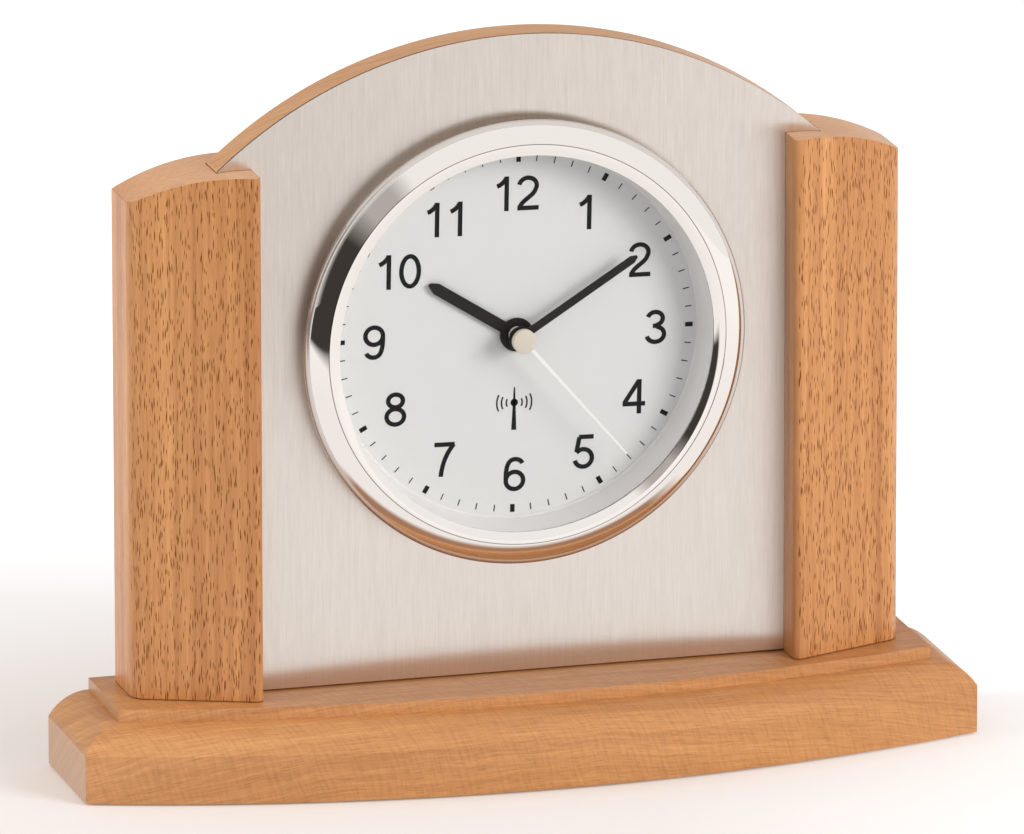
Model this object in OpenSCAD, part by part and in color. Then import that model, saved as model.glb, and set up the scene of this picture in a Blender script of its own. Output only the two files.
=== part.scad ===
// Table clock: an arched board faced with brushed metal stands between two beech pillars on a moulded base.
// A round insert with dial, hands and a radio-controlled quartz movement fills the hole in the board.
// Millimetres. X runs right, Y runs to the back, Z runs up. The front looks along -Y.

/* [Base] */
// Width of the base
base_w = 220; // [200:1:250]
// Depth of the base at its ends
base_end_d = 35.7; // [34:0.1:44]
// How far the front of the base bows out in the middle
base_bow = 18.4; // [12:0.1:26]
// Height of the plain edge under the moulding
base_edge_h = 11.6; // [8:0.1:16]
// Rise of the rounded moulding above the plain edge
moulding_h = 5.8; // [4:0.1:8]
// Width of the moulding at the two ends
end_moulding_w = 9.9; // [8:0.1:13]
// Width of the moulding along the front
front_moulding_w = 10.8; // [8:0.1:13]
// Height of the step that the pillars stand on
step_h = 2.9; // [1.5:0.1:6]
// How far the front of the step bows out in the middle
step_bow = 13.2; // [8:0.1:18]
// Distance from the front of the base back to the front of the step, in the middle
step_front_set = 11.8; // [11:0.1:15]

/* [Pillars] */
// Width of a pillar
pillar_w = 29.5; // [24:0.1:34]
// Distance from the end of the step to the outer face of a pillar
pillar_end_set = 5.3; // [3:0.1:8]
// Distance from the back of the base to the back of the pillars
pillar_back_set = 4.8; // [3:0.1:6]
// Depth of a pillar along its outer face
pillar_side_d = 16.3; // [14:0.1:20]
// Angle at which the front of a pillar slopes outwards and back
pillar_slope = 21.6; // [12:0.1:26]
// Height of a pillar at its highest point
pillar_h = 127.7; // [118:0.1:140]
// Radius of the curved top of a pillar
pillar_top_r = 55; // [45:1:90]
// Distance from the inner face of a pillar to its highest point
pillar_peak_set = 2.7; // [1:0.1:8]
// Rounding of the outer front edge
outer_edge_r = 5; // [2:0.1:7]
// Rounding of the inner front edge
inner_edge_r = 1.6; // [1:0.1:4]
// Depth of the groove that holds the board
groove_d = 8.7; // [5:0.1:10]
// Distance from the back of the board to the back of the pillars
board_back_set = 8.2; // [7:0.1:12.5]

/* [Arched panel] */
// Thickness of the wooden board
board_t = 9.4; // [7:0.1:11]
// Thickness of the metal sheet on the board
sheet_t = 0.8; // [0.5:0.1:1.5]
// Radius of the arched top
arch_r = 110; // [100:1:140]
// Height of the arch above the step
arch_h = 155.9; // [148:0.1:170]
// Gap between the metal sheet and the step
sheet_lift = 0.4; // [0.2:0.1:1]

/* [Clock insert] */
// Height of the dial's centre above the step
dial_h = 82.1; // [78:0.1:88]
// Radius of the sleeve that sits in the board
sleeve_r = 49; // [48:0.1:52]
// Wall of the sleeve
sleeve_wall = 1.3; // [1:0.1:2]
// Width of the sleeve's flange in front of the sheet
flange_w = 2; // [1.5:0.1:3]
// Thickness of the flange
flange_t = 1; // [0.6:0.1:1.5]
// Radius of the thin rim round the bezel
rim_r = 1; // [0.8:0.05:1.2]
// Height of the rim's centre in front of the sheet
rim_stand = 4.25; // [4:0.05:4.5]
// Distance from the sleeve's outside to the rim's centre
rim_set = 4.15; // [3.9:0.05:4.5]
// Width of the sloping band from the rim's centre to the crease
band_w = 4.45; // [4:0.05:5]
// Radius of the band's curve
band_r = 12; // [11:0.5:14]
// Slope of the band at the crease
band_slope = 12; // [10:0.5:14]
// Distance of the crease in front of the sheet
crease_stand = 7.1; // [6.9:0.1:7.3]
// Width of the lip inside the crease
lip_w = 2.8; // [2:0.1:3]
// How far the lip falls from the crease to its inner edge
lip_drop = 0.7; // [0.5:0.05:0.8]
// Thickness of the lip at its inner edge
lip_t = 0.3; // [0.3:0.05:0.5]
// Thickness of the glass
glass_t = 1.2; // [1:0.1:1.6]
// Depth of the dial's face behind the front of the sheet
dial_drop = 4.1; // [3.5:0.1:5]
// Thickness of the dial
dial_t = 0.5; // [0.4:0.1:0.8]
// Radius of the dial that shows inside its ring
dial_show_r = 44.6; // [44:0.1:45.5]
// Turn of the insert in the board, clockwise
insert_turn = 1.1; // [0:0.1:3]
// Thickness of the floor that carries dial and movement
floor_t = 1.5; // [1.2:0.1:2]

/* [Dial marks] */
// Radius of the middle of the marks
mark_ring_r = 42.8; // [41:0.1:43.2]
// Width of an hour mark
hour_mark_w = 1.1; // [0.8:0.1:1.5]
// Length of an hour mark
hour_mark_l = 1.9; // [1.5:0.1:2.4]
// Width of a minute mark
minute_mark_w = 0.25; // [0.2:0.05:0.5]
// Length of a minute mark
minute_mark_l = 1.6; // [1:0.1:2]
// Height of the printed marks
mark_t = 0.1; // [0.05:0.01:0.15]

/* [Hands] */
// Length of the hour hand
hour_hand_l = 25.5; // [22:0.1:30]
// Width of the hour hand
hour_hand_w = 2.8; // [2:0.1:3.5]
// Radius of the hour hand's round eye
hour_eye_r = 4.1; // [3.9:0.1:5]
// Length of the minute hand
minute_hand_l = 33.9; // [30:0.1:38]
// Width of the minute hand
minute_hand_w = 1.9; // [1.5:0.1:2.6]
// Radius of the minute hand's round eye
minute_eye_r = 2.8; // [2:0.1:3.5]
// Length of the second hand
second_hand_l = 38.6; // [34:0.1:40]
// Width of the second hand
second_hand_w = 0.45; // [0.3:0.05:0.8]
// Radius of the cap on the second hand
cap_r = 2.9; // [2:0.1:3.4]
// Thickness of a hand
hand_t = 0.4; // [0.3:0.05:0.5]
// Direction of the hour hand, clockwise from the top
hour_hand_a = 302.6; // [0:0.1:360]
// Direction of the minute hand, clockwise from the top
minute_hand_a = 58; // [0:0.1:360]
// Direction of the second hand, clockwise from the top
second_hand_a = 139.3; // [0:0.1:360]

/* [Movement] */
// Wall of the case
case_wall = 1.5; // [1.2:0.1:1.6]
// Distance from the hands' axis down to the wall above the battery
bay_drop = 10.6; // [10:0.1:13]
// Module of the reduction gears
train_module = 0.4; // [0.38:0.01:0.4]
// Module of the gears between the minute and the hour pipe
motion_module = 0.5; // [0.48:0.01:0.5]
// Thickness of a gear
gear_t = 1; // [0.8:0.1:1.2]
// Distance from one layer of gears to the next
layer_step = 1.6; // [1.5:0.1:2]
// Radius of the second hand's shaft
shaft_r = 0.45; // [0.4:0.05:0.5]
// Wall of the pipes that carry the minute and the hour hand
pipe_wall = 0.75; // [0.6:0.05:0.8]
// Running clearance between a shaft and its bearing
run_fit = 0.05; // [0.03:0.01:0.06]

/* [Battery] */
// Radius of the AA battery
battery_r = 7.25; // [7:0.05:7.25]
// Length of the AA battery with its button
battery_l = 50.2; // [49:0.1:50.5]
// Length of the contact spring behind the battery
spring_l = 2.2; // [1.6:0.1:4]

/* [Buttons] */
// Radius of a push-button
button_r = 1.8; // [1.4:0.1:2.2]
// Height of a push-button behind the cover
button_stand = 0.5; // [0.4:0.05:0.6]
// Distance between push-buttons
button_pitch = 12; // [9:0.5:15]

/* [Feet] */
// Radius of a felt pad
pad_r = 6; // [4:0.1:7]
// Thickness of a felt pad
pad_t = 1.5; // [1.2:0.1:2]
// Height of the base above the table
pad_stand = 0.5; // [0.3:0.1:1]

/* [Hidden] */
$fn = 64;

// Colours
beech = "#D2955F";
pale_beech = "#DDAC82";
brushed_metal = "#D8CFC7";
chrome = "#E6E6E8";
dial_white = "#E0E0DE";
light_plastic = "#CFCECB";
grey_plastic = "#3C3D40";
brass_tone = "#C9A455";
steel = "#B9BCC0";
nylon = "#EDE9DC";

// Overrun of a cut past the surface that it opens
cut = 1;
// Segments of large turned shapes
round_fn = 180;
// Clearance round a fixed piece in its seat
seat_gap = 0.3;
// Clearance of a glued or screwed joint
joint_gap = 0.1;

// Base
base_d = base_end_d + base_bow;
base_back_y = base_d / 2;
base_front_y = -base_d / 2;
slab_h = base_edge_h + moulding_h;
step_top_z = pad_stand + slab_h + step_h;
step_w = base_w - 2 * end_moulding_w;
base_bow_r = bow_radius(base_w / 2, base_bow);
step_bow_r = bow_radius(step_w / 2, step_bow);
step_front_y = base_front_y + step_front_set;

// Pillars
pillar_out_x = step_w / 2 - pillar_end_set;
pillar_in_x = pillar_out_x - pillar_w;
pillar_back_y = base_back_y - pillar_back_set;
pillar_corner_y = pillar_back_y - pillar_side_d;
pillar_top_z = step_top_z + pillar_h;
screw_x = (pillar_in_x + groove_d + pillar_out_x) / 2;
screw_ys = [pillar_back_y - pillar_side_d * 0.3, pillar_back_y - pillar_side_d * 0.8];
pillar_screw_r = 1.8;
pillar_screw_l = 32;
pillar_screw_head_r = 3.6;
pillar_screw_head_h = 2.4;
pillar_screw_sink = 1;

// Panel
board_back_y = pillar_back_y - board_back_set;
board_front_y = board_back_y - board_t;
face_y = board_front_y - sheet_t;
panel_half_w = pillar_in_x + groove_d - seat_gap;
arch_z = step_top_z + arch_h - arch_r;
dowel_r = 2;
dowel_l = 20;
dowel_x = panel_half_w * 0.68;

// Feet
pad_ats = [
    [step_w / 2 - pad_r / 2, base_back_y - base_end_d * 0.2],
    [step_w * 0.35, step_front_y + pad_r]
];

// Pipes and shafts on the hands' axis
minute_bore_r = shaft_r + run_fit;
minute_pipe_r = minute_bore_r + pipe_wall;
hour_bore_r = minute_pipe_r + run_fit;
hour_pipe_r = hour_bore_r + pipe_wall;
bush_bore_r = hour_pipe_r + run_fit;

// Insert. Its parts are placed by their distance in front of the sheet.
dial_z = step_top_z + dial_h;
sleeve_in_r = sleeve_r - sleeve_wall;
board_hole_r = sleeve_r + seat_gap;
flange_r = sleeve_r + flange_w;
rim_ring_r = sleeve_r + rim_set;
crease_r = rim_ring_r - band_w;
glass_r = sleeve_in_r - seat_gap;
lip_in_r = crease_r - lip_w;
lip_bow_r = bow_radius(lip_w, lip_drop);
bezel_foot_w = 1.1;
glass_front = crease_stand - lip_drop - lip_t;
glass_back = glass_front - glass_t;
ring_front_r = lip_in_r + seat_gap;
dial_back = -dial_drop - dial_t;
floor_back = dial_back - floor_t;
bush_r = bush_bore_r + 1.6 * pipe_wall;
bush_hole_r = bush_r + seat_gap / 2;
case_front_y = face_y - floor_back;

// Claws that hold the insert behind the board
claw_n = 3;
claw_r = sleeve_r - 5.5 * sleeve_wall / 1.3;
claw_w = 8;
claw_in_r = claw_r - claw_w / 2;
claw_out_r = board_hole_r + claw_w;
claw_t = 0.6;
claw_boss_r = 3;
claw_screw_r = 1.1;
claw_screw_l = 2.6;
claw_head_r = 2.2;
claw_head_h = 1.2;

// Hands, by their distance in front of the sheet
cap_h = 1.5;
cap_front = glass_back - 2 * seat_gap;
hour_hand_front = -dial_drop + 1.6 * hand_t + seat_gap * 2;
second_hand_front = cap_front - 1.3 * hand_t;
minute_hand_front = (hour_hand_front + second_hand_front) / 2;
eye_drop = 1.2;

// Battery bay, counted from the hands' axis
battery_gap = 0.25;
battery_nub_r = 2.7;
battery_nub_l = 1;
contact_t = 0.3;
contact_w = 9;
contact_gap = 0.15;
spring_wide_r = 3.6;
spring_narrow_r = 2.4;
divider_t = 0.9;
divider_high_z = -bay_drop;
divider_low_z = divider_high_z - divider_t;
battery_z = divider_low_z - battery_gap - battery_r;
bay_floor_z = battery_z - battery_r - battery_gap;
bay_half = (battery_l + spring_l + contact_t) / 2 + contact_gap;
battery_right_x = bay_half - contact_t - contact_gap;

// Gears
pinion_n = 8;
transfer_n = 40;
final_n = 48;
minute_pinion_n = 12;
motion_wheel_n = 36;
motion_pinion_n = 10;
hour_wheel_n = 40;
wheel_tip_share = 0.5;
pinion_tip_share = 0.9;
root_share = 1.15;
slack_share = 0.1;
pressure_a = 20;
final_dist = (final_n + pinion_n) * train_module / 2;
rotor_dist = (transfer_n + pinion_n) * train_module / 2;
motion_dist = (minute_pinion_n + motion_wheel_n) * motion_module / 2;
hour_module = 2 * motion_dist / (motion_pinion_n + hour_wheel_n);
transfer_a = 35;
rotor_a = 20;
motion_a = 90;
motion_pin_r = 0.6;
second_transfer_at = polar(final_dist, transfer_a);
minute_transfer_at = polar(final_dist, 180 - transfer_a);
second_rotor_at = second_transfer_at + polar(rotor_dist, rotor_a);
minute_rotor_at = minute_transfer_at + polar(rotor_dist, 180 - rotor_a);
motion_at = polar(motion_dist, motion_a);
second_transfer_turn = mesh_turn(0, final_n, pinion_n, transfer_a);
minute_transfer_turn = mesh_turn(0, final_n, pinion_n, 180 - transfer_a);
second_rotor_turn = mesh_turn(second_transfer_turn, transfer_n, pinion_n, rotor_a);
minute_rotor_turn = mesh_turn(minute_transfer_turn, transfer_n, pinion_n, 180 - rotor_a);
motion_turn = mesh_turn(0, minute_pinion_n, motion_wheel_n, motion_a);
hour_turn = mesh_turn(motion_turn, motion_pinion_n, hour_wheel_n, motion_a + 180);

// Motors
magnet_r = 3;
magnet_h = 2.4;
rotor_hole_r = magnet_r + 0.4 * gear_t;
stator_t = gear_t;
stator_in_x = 3;
stator_leg_w = 3;
stator_out_x = second_rotor_at[0] + rotor_hole_r + stator_leg_w + 0.9 * stator_t;
stator_bar_low = 8;
stator_bar_high = 13.5;
stator_pad = 1.1;
core_low_z = 19.8;
core_high_z = 22.8;
coil_r = 3.2;
coil_z = (core_low_z + core_high_z) / 2;
coil_gap = 0.5;
stator_post_r = 1.1;

// Aerial and board
board_thin = 1;
antenna_r = 3.4;
antenna_l = 44;
antenna_coil_r = 4.2;
antenna_coil_l = 24;
antenna_z = coil_z + coil_r + 1.3 * stator_t + antenna_coil_r;
saddle_w = 2;
saddle_x = 0.42 * antenna_l;

// Movement case, deep enough for the battery and for all layers of wheels
case_d = case_wall + max(2 * (battery_r + battery_gap), 6 * layer_step + magnet_h + 3 * board_thin);
case_back_y = case_front_y + case_d;
cover_t = case_wall;
cover_in_y = case_back_y - cover_t;
plate_in_y = case_front_y + case_wall;
case_low_z = bay_floor_z - case_wall;
case_high_z = antenna_z + antenna_coil_r + seat_gap + case_wall;
battery_y = plate_in_y + battery_gap + battery_r;
case_in_x = max(bay_half, stator_out_x + gear_t);
case_w = 2 * (case_in_x + case_wall);
pivot_r = 0.5;
pivot_depth = 0.6;
post_r = 1.8;
post_x = case_in_x - post_r + seat_gap / 3;
post_low_z = divider_high_z + post_r - seat_gap / 3;
post_high_z = case_high_z - case_wall - post_r + seat_gap / 3;
cover_screw_r = 0.7;
cover_screw_l = 8;
cover_head_r = 1.6;
cover_head_h = 0.45;
ear_w = 6;
ear_x = case_w / 2 + ear_w / 2 + seat_gap;
ear_boss_h = 3;
ear_t = 1.5;
ear_hole_r = 1.1;
ear_screw_r = 0.8;
ear_screw_l = 4;
ear_head_r = 1.8;
ear_head_h = 0.8;

// Electronics
circuit_back_y = cover_in_y - 1.6 * board_thin;
circuit_front_y = circuit_back_y - board_thin;
circuit_low_z = divider_high_z + seat_gap;
circuit_high_z = 3;
chip_w = 5;
chip_h = 0.8;
chip_at = [-14, -5];
crystal_r = 1;
crystal_l = 6;
crystal_at = [15, -6.5];
antenna_y = (plate_in_y + cover_in_y) / 2;

// Buttons
button_z = (circuit_low_z + 0) / 2;
button_flange_w = 0.8;
button_flange_t = 0.7;
button_travel = 0.4;

// Radius of an arc that rises by a given bow over half of its chord
function bow_radius(half, bow) = (half * half + bow * bow) / (2 * bow);
// Point at a distance and an angle
function polar(r, a) = [r * cos(a), r * sin(a)];
// Points of an arc round a centre
function arc_points(centre, r, from, to, steps = 8) =
    [for (i = [0 : steps]) centre + polar(r, from + (to - from) * i / steps)];
// Turn of the second gear that meshes with the first one, whose centre lies at angle a behind it
function mesh_turn(turn, n, other_n, a) = a + 180 + 180 / other_n - (turn - a) * n / other_n;
// Angle of the involute at radius r, in degrees
function involute(base_r, r) =
    let (p = acos(min(base_r / r, 1))) tan(p) * 180 / PI - p;

// One tooth gap and tooth after another, as points of a gear's outline
function gear_points(n, m, tip_share) =
    let (
        pitch_r = n * m / 2,
        base_r = pitch_r * cos(pressure_a),
        tip_r = pitch_r + tip_share * m,
        root_r = pitch_r - root_share * m,
        low_r = max(base_r, root_r),
        half = 90 / n * (1 - slack_share) + involute(base_r, pitch_r),
        side = root_r < base_r ? [root_r, low_r, pitch_r, tip_r] : [low_r, pitch_r, tip_r],
        last = len(side) - 1
    )
    [for (i = [0 : n - 1]) each concat(
        [for (k = [0 : last]) polar(side[k], i * 360 / n - half + involute(base_r, max(side[k], low_r)))],
        [for (k = [last : -1 : 0]) polar(side[k], i * 360 / n + half - involute(base_r, max(side[k], low_r)))]
    )];

// A flat outline in X and Z, given depth between two places along Y
module plate(front, back) {
    translate([0, back, 0]) rotate([90, 0, 0]) linear_extrude(back - front) children();
}

// A round bar along Y
module bar(r, front, back) {
    translate([0, back, 0]) rotate([90, 0, 0]) cylinder(r = r, h = back - front);
}

// Moves children to a place on the dial's plane, counted from the hands' axis
module on_axis(at = [0, 0]) {
    translate([at[0], 0, dial_z + at[1]]) children();
}

// Turns a profile of radius and distance in front of the sheet round the hands' axis
module turned() {
    translate([0, face_y, dial_z]) rotate([90, 0, 0]) rotate_extrude($fn = round_fn) children();
}

// A ring-shaped profile from one radius to another and one distance to another
module band(in_r, out_r, back, front) {
    translate([in_r, back]) square([out_r - in_r, front - back]);
}

// Children on the left and on the right
module both_sides() {
    for (side = [0, 1]) mirror([side, 0, 0]) children();
}

// Half of the base's section, with the rounded moulding of a given height at its edge
module moulded_half(half, width, height) {
    curve_r = bow_radius(width, height);
    top = base_edge_h + height;
    square([half, base_edge_h]);
    square([half - width, top]);
    intersection() {
        translate([half - width, top - curve_r]) circle(r = curve_r, $fn = round_fn);
        translate([half - width, 0]) square([width, top]);
    }
}

module base_slab() {
    intersection() {
        translate([0, base_front_y + base_bow_r, 0])
            rotate_extrude($fn = 2 * round_fn) moulded_half(base_bow_r, front_moulding_w, moulding_h);
        plate(base_front_y - cut, base_back_y) both_sides()
            moulded_half(base_w / 2, end_moulding_w, moulding_h + moulding_h / 100);
    }
}

module base_step() {
    intersection() {
        translate([0, step_front_y + step_bow_r, 0]) cylinder(r = step_bow_r, h = slab_h + step_h, $fn = 2 * round_fn);
        translate([-step_w / 2, step_front_y - cut, slab_h - moulding_h])
            cube([step_w, base_back_y - step_front_y + cut, step_h + moulding_h]);
    }
}

module base() {
    color(beech) difference() {
        translate([0, 0, pad_stand]) union() {
            base_slab();
            base_step();
        }
        both_sides() for (y = screw_ys) translate([screw_x, y, 0]) {
            cylinder(r = pillar_screw_r + joint_gap, h = step_top_z + cut);
            cylinder(r = pillar_screw_head_r + joint_gap, h = pad_stand + pillar_screw_sink + pillar_screw_head_h);
        }
        both_sides() for (at = pad_ats) translate(at) cylinder(r = pad_r + joint_gap, h = pad_t);
        both_sides() translate([dowel_x, (board_front_y + board_back_y) / 2, step_top_z - dowel_l / 2])
            cylinder(r = dowel_r + joint_gap, h = dowel_l);
    }
}

module pillar_plan() {
    outer_at = [
        pillar_out_x - outer_edge_r,
        pillar_corner_y + outer_edge_r * (1 - sin(pillar_slope)) / cos(pillar_slope)
    ];
    inner_at = [
        pillar_in_x + inner_edge_r,
        pillar_corner_y + (inner_edge_r - (pillar_w - inner_edge_r) * sin(pillar_slope)) / cos(pillar_slope)
    ];
    polygon(concat(
        [[pillar_in_x, pillar_back_y], [pillar_out_x, pillar_back_y]],
        arc_points(outer_at, outer_edge_r, 0, pillar_slope - 90),
        arc_points(inner_at, inner_edge_r, pillar_slope - 90, -180)
    ));
}

module right_pillar() {
    peak_x = pillar_in_x + pillar_peak_set;
    color(beech) difference() {
        intersection() {
            translate([0, 0, step_top_z]) linear_extrude(pillar_h) pillar_plan();
            union() {
                translate([peak_x, 0, pillar_top_z - pillar_top_r])
                    bar(pillar_top_r, base_front_y, base_back_y, $fn = round_fn);
                translate([pillar_in_x - cut, base_front_y, 0])
                    cube([pillar_w + 2 * cut, base_d, pillar_top_z - pillar_top_r]);
            }
        }
        translate([pillar_in_x - cut, face_y - joint_gap, step_top_z - cut])
            cube([groove_d + cut, board_back_y - face_y + 2 * joint_gap, pillar_h + 2 * cut]);
        for (y = screw_ys) translate([screw_x, y, step_top_z - cut])
            cylinder(r = pillar_screw_r + joint_gap / 2, h = pillar_screw_l - slab_h + cut);
    }
}

module left_pillar() {
    mirror([1, 0, 0]) right_pillar();
}

// Outline of the arched panel, standing at a given height
module arch_outline(low_z) {
    intersection() {
        translate([0, arch_z]) circle(r = arch_r, $fn = 2 * round_fn);
        translate([-panel_half_w, low_z]) square([2 * panel_half_w, arch_z + arch_r]);
    }
}

module arch_board() {
    color(pale_beech) difference() {
        plate(board_front_y, board_back_y) arch_outline(step_top_z);
        on_axis() bar(board_hole_r, board_front_y - cut, board_back_y + cut, $fn = round_fn);
        both_sides() translate([dowel_x, (board_front_y + board_back_y) / 2, step_top_z - cut])
            cylinder(r = dowel_r + joint_gap, h = dowel_l / 2 + cut);
    }
}

module front_sheet() {
    color(brushed_metal) difference() {
        plate(face_y, board_front_y) arch_outline(step_top_z + sheet_lift);
        on_axis() bar(board_hole_r, face_y - cut, board_front_y + cut, $fn = round_fn);
    }
}

module foot_pads() {
    color("#5A4636") both_sides() for (at = pad_ats) translate(at) cylinder(r = pad_r, h = pad_t);
}

module pillar_screws() {
    color(steel) both_sides() for (y = screw_ys) translate([screw_x, y, pad_stand + pillar_screw_sink]) {
        cylinder(r = pillar_screw_r, h = pillar_screw_l);
        cylinder(r = pillar_screw_head_r, h = pillar_screw_head_h - joint_gap);
    }
}

module board_dowels() {
    color(beech) both_sides()
        translate([dowel_x, (board_front_y + board_back_y) / 2, step_top_z - dowel_l / 2 + joint_gap])
            cylinder(r = dowel_r, h = dowel_l - 2 * joint_gap);
}

module bezel() {
    foot_in_r = flange_r + seat_gap;
    foot_r = foot_in_r + bezel_foot_w;
    color(chrome) turned() {
        translate([rim_ring_r, rim_stand]) circle(r = rim_r, $fn = round_fn);
        difference() {
            intersection() {
                translate([crease_r - band_r * sin(band_slope), crease_stand - band_r * cos(band_slope)])
                    circle(r = band_r, $fn = round_fn);
                polygon([
                    [sleeve_in_r, 0], [foot_r, 0], [foot_r, rim_stand], [rim_ring_r, rim_stand],
                    [rim_ring_r, crease_stand], [crease_r, crease_stand], [crease_r, glass_front],
                    [sleeve_in_r, glass_front]
                ]);
            }
            translate([0, -cut]) square([foot_in_r, flange_t + joint_gap + cut]);
        }
        intersection() {
            translate([crease_r, crease_stand - lip_bow_r]) circle(r = lip_bow_r, $fn = round_fn);
            translate([lip_in_r, glass_front]) square([lip_w, lip_drop + lip_t]);
        }
    }
}

module glass() {
    color("#DCE9EC", 0.3) on_axis() bar(glass_r, face_y - glass_front, face_y - glass_back, $fn = round_fn);
}

module dial_ring() {
    color(light_plastic) turned() polygon([
        [dial_show_r, -dial_drop], [glass_r, -dial_drop], [glass_r, glass_back], [ring_front_r, glass_back]
    ]);
}

module dial() {
    color(dial_white) on_axis() difference() {
        bar(glass_r, face_y + dial_drop, face_y - dial_back, $fn = round_fn);
        bar(bush_hole_r, face_y, face_y - dial_back + cut);
    }
    color("#141414") on_axis() plate(face_y + dial_drop - mark_t, face_y + dial_drop) for (i = [0 : 59])
        rotate(-insert_turn - i * 6) translate([0, mark_ring_r]) dial_mark(i % 5 == 0);
}

module dial_mark(on_hour) {
    if (on_hour) square([hour_mark_w, hour_mark_l], center = true);
    else square([minute_mark_w, minute_mark_l], center = true);
}

// Places children behind the insert's floor, at the claws' screws
module claw_places() {
    for (i = [0 : claw_n - 1]) on_axis() rotate([0, i * 360 / claw_n, 0]) children();
}

module insert_sleeve() {
    color(light_plastic) {
        difference() {
            union() {
                turned() {
                    band(sleeve_in_r, flange_r, 0, flange_t);
                    band(sleeve_in_r, sleeve_r, floor_back, flange_t);
                    band(bush_hole_r, sleeve_r, floor_back, dial_back);
                }
                claw_places() translate([0, 0, claw_r]) bar(claw_boss_r, case_front_y - floor_t / 2, board_back_y);
                both_sides() on_axis([ear_x, 0])
                    bar(ear_w / 2, case_front_y - floor_t / 2, case_front_y + ear_boss_h);
            }
            claw_places() translate([0, 0, claw_r])
                bar(claw_screw_r + joint_gap / 2, board_back_y - claw_screw_l, board_back_y + cut);
            both_sides() on_axis([ear_x, 0]) bar(
                ear_screw_r + joint_gap / 2,
                case_front_y + ear_boss_h + ear_t - ear_screw_l,
                case_front_y + ear_boss_h + cut
            );
        }
    }
}

module holding_claws() {
    color(steel) claw_places() difference() {
        translate([-claw_w / 2, board_back_y, claw_in_r]) cube([claw_w, claw_t, claw_out_r - claw_in_r]);
        translate([0, 0, claw_r])
            bar(claw_screw_r + joint_gap, board_back_y - cut, board_back_y + claw_t + cut);
    }
}

module claw_screws() {
    color(steel) claw_places() translate([0, 0, claw_r]) {
        bar(claw_screw_r, board_back_y - claw_screw_l + joint_gap, board_back_y + claw_t + claw_head_h / 2);
        bar(claw_head_r, board_back_y + claw_t, board_back_y + claw_t + claw_head_h);
    }
}

// A flat hand that points up, with a round eye and a short point
module hand_outline(length, width, eye_r) {
    circle(r = eye_r);
    polygon([
        [-width / 2, 0], [width / 2, 0], [width / 2, length - width], [0, length], [-width / 2, length - width]
    ]);
}

module hour_hand() {
    front_y = face_y - hour_hand_front;
    color("#15161A") on_axis() rotate([0, hour_hand_a, 0]) difference() {
        union() {
            plate(front_y, front_y + hand_t) hand_outline(hour_hand_l, hour_hand_w, hour_eye_r);
            bar(hour_pipe_r + pipe_wall, front_y, front_y + eye_drop / 2);
        }
        bar(hour_pipe_r + run_fit / 2, front_y - cut, front_y + eye_drop + cut);
    }
}

module minute_hand() {
    front_y = face_y - minute_hand_front;
    color("#15161A") on_axis() rotate([0, minute_hand_a, 0]) difference() {
        union() {
            plate(front_y, front_y + hand_t) hand_outline(minute_hand_l, minute_hand_w, minute_eye_r);
            bar(minute_pipe_r + pipe_wall, front_y, front_y + eye_drop);
        }
        bar(minute_pipe_r + run_fit / 2, front_y - cut, front_y + eye_drop + cut);
    }
}

module second_hand() {
    front_y = face_y - second_hand_front;
    cap_y = face_y - cap_front;
    color("#D8D0BE") on_axis() rotate([0, second_hand_a, 0]) difference() {
        union() {
            plate(front_y, front_y + hand_t) polygon([
                [-second_hand_w, 0], [second_hand_w, 0], [second_hand_w / 2, second_hand_l],
                [-second_hand_w / 2, second_hand_l]
            ]);
            bar(cap_r, cap_y, cap_y + cap_h);
            bar(shaft_r + pipe_wall, cap_y, front_y + hand_t + eye_drop);
        }
        bar(shaft_r + run_fit / 2, cap_y + cap_h / 2, front_y + hand_t + eye_drop + cut);
    }
}

// Front of a layer of gears, counted from the movement's plate
function layer_y(i) = plate_in_y + gear_t / 2 + i * layer_step;

module gear(n, m, tip_share, layer, turn) {
    plate(layer_y(layer), layer_y(layer) + gear_t) rotate(turn) polygon(gear_points(n, m, tip_share));
}

module wheel(n, m, layer, turn = 0) {
    gear(n, m, wheel_tip_share, layer, turn);
}

module pinion(n, m, layer, turn = 0) {
    gear(n, m, pinion_tip_share, layer, turn);
}

// A round bar through the movement that turns in blind holes of plate and cover
module arbor() {
    bar(pivot_r, plate_in_y - pivot_depth + joint_gap, cover_in_y + pivot_depth - joint_gap);
}

module hour_wheel() {
    pipe_front_y = face_y - hour_hand_front - hand_t / 2;
    color(nylon) on_axis() difference() {
        union() {
            wheel(hour_wheel_n, hour_module, 0, hour_turn);
            bar(hour_pipe_r, pipe_front_y, layer_y(0) + gear_t);
        }
        bar(hour_bore_r, pipe_front_y - cut, layer_y(0) + gear_t + cut);
    }
}

module motion_wheel() {
    color(nylon) on_axis(motion_at) difference() {
        union() {
            wheel(motion_wheel_n, motion_module, 1, motion_turn);
            pinion(motion_pinion_n, hour_module, 0, motion_turn);
            bar(2 * motion_pin_r, layer_y(0), layer_y(1) + gear_t);
        }
        bar(motion_pin_r + run_fit, layer_y(0) - cut, layer_y(1) + gear_t + cut);
    }
}

module minute_wheel() {
    pipe_front_y = face_y - minute_hand_front - hand_t / 2;
    color(nylon) on_axis() difference() {
        union() {
            pinion(minute_pinion_n, motion_module, 1);
            wheel(final_n, train_module, 2);
            bar(minute_pipe_r, pipe_front_y, layer_y(2) + gear_t);
        }
        bar(minute_bore_r, pipe_front_y - cut, layer_y(2) + gear_t + cut);
    }
}

module minute_transfer_wheel() {
    color(nylon) on_axis(minute_transfer_at) {
        pinion(pinion_n, train_module, 2, minute_transfer_turn);
        wheel(transfer_n, train_module, 3, minute_transfer_turn);
        bar(2 * pivot_r, layer_y(2), layer_y(3) + gear_t);
        arbor();
    }
}

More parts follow.
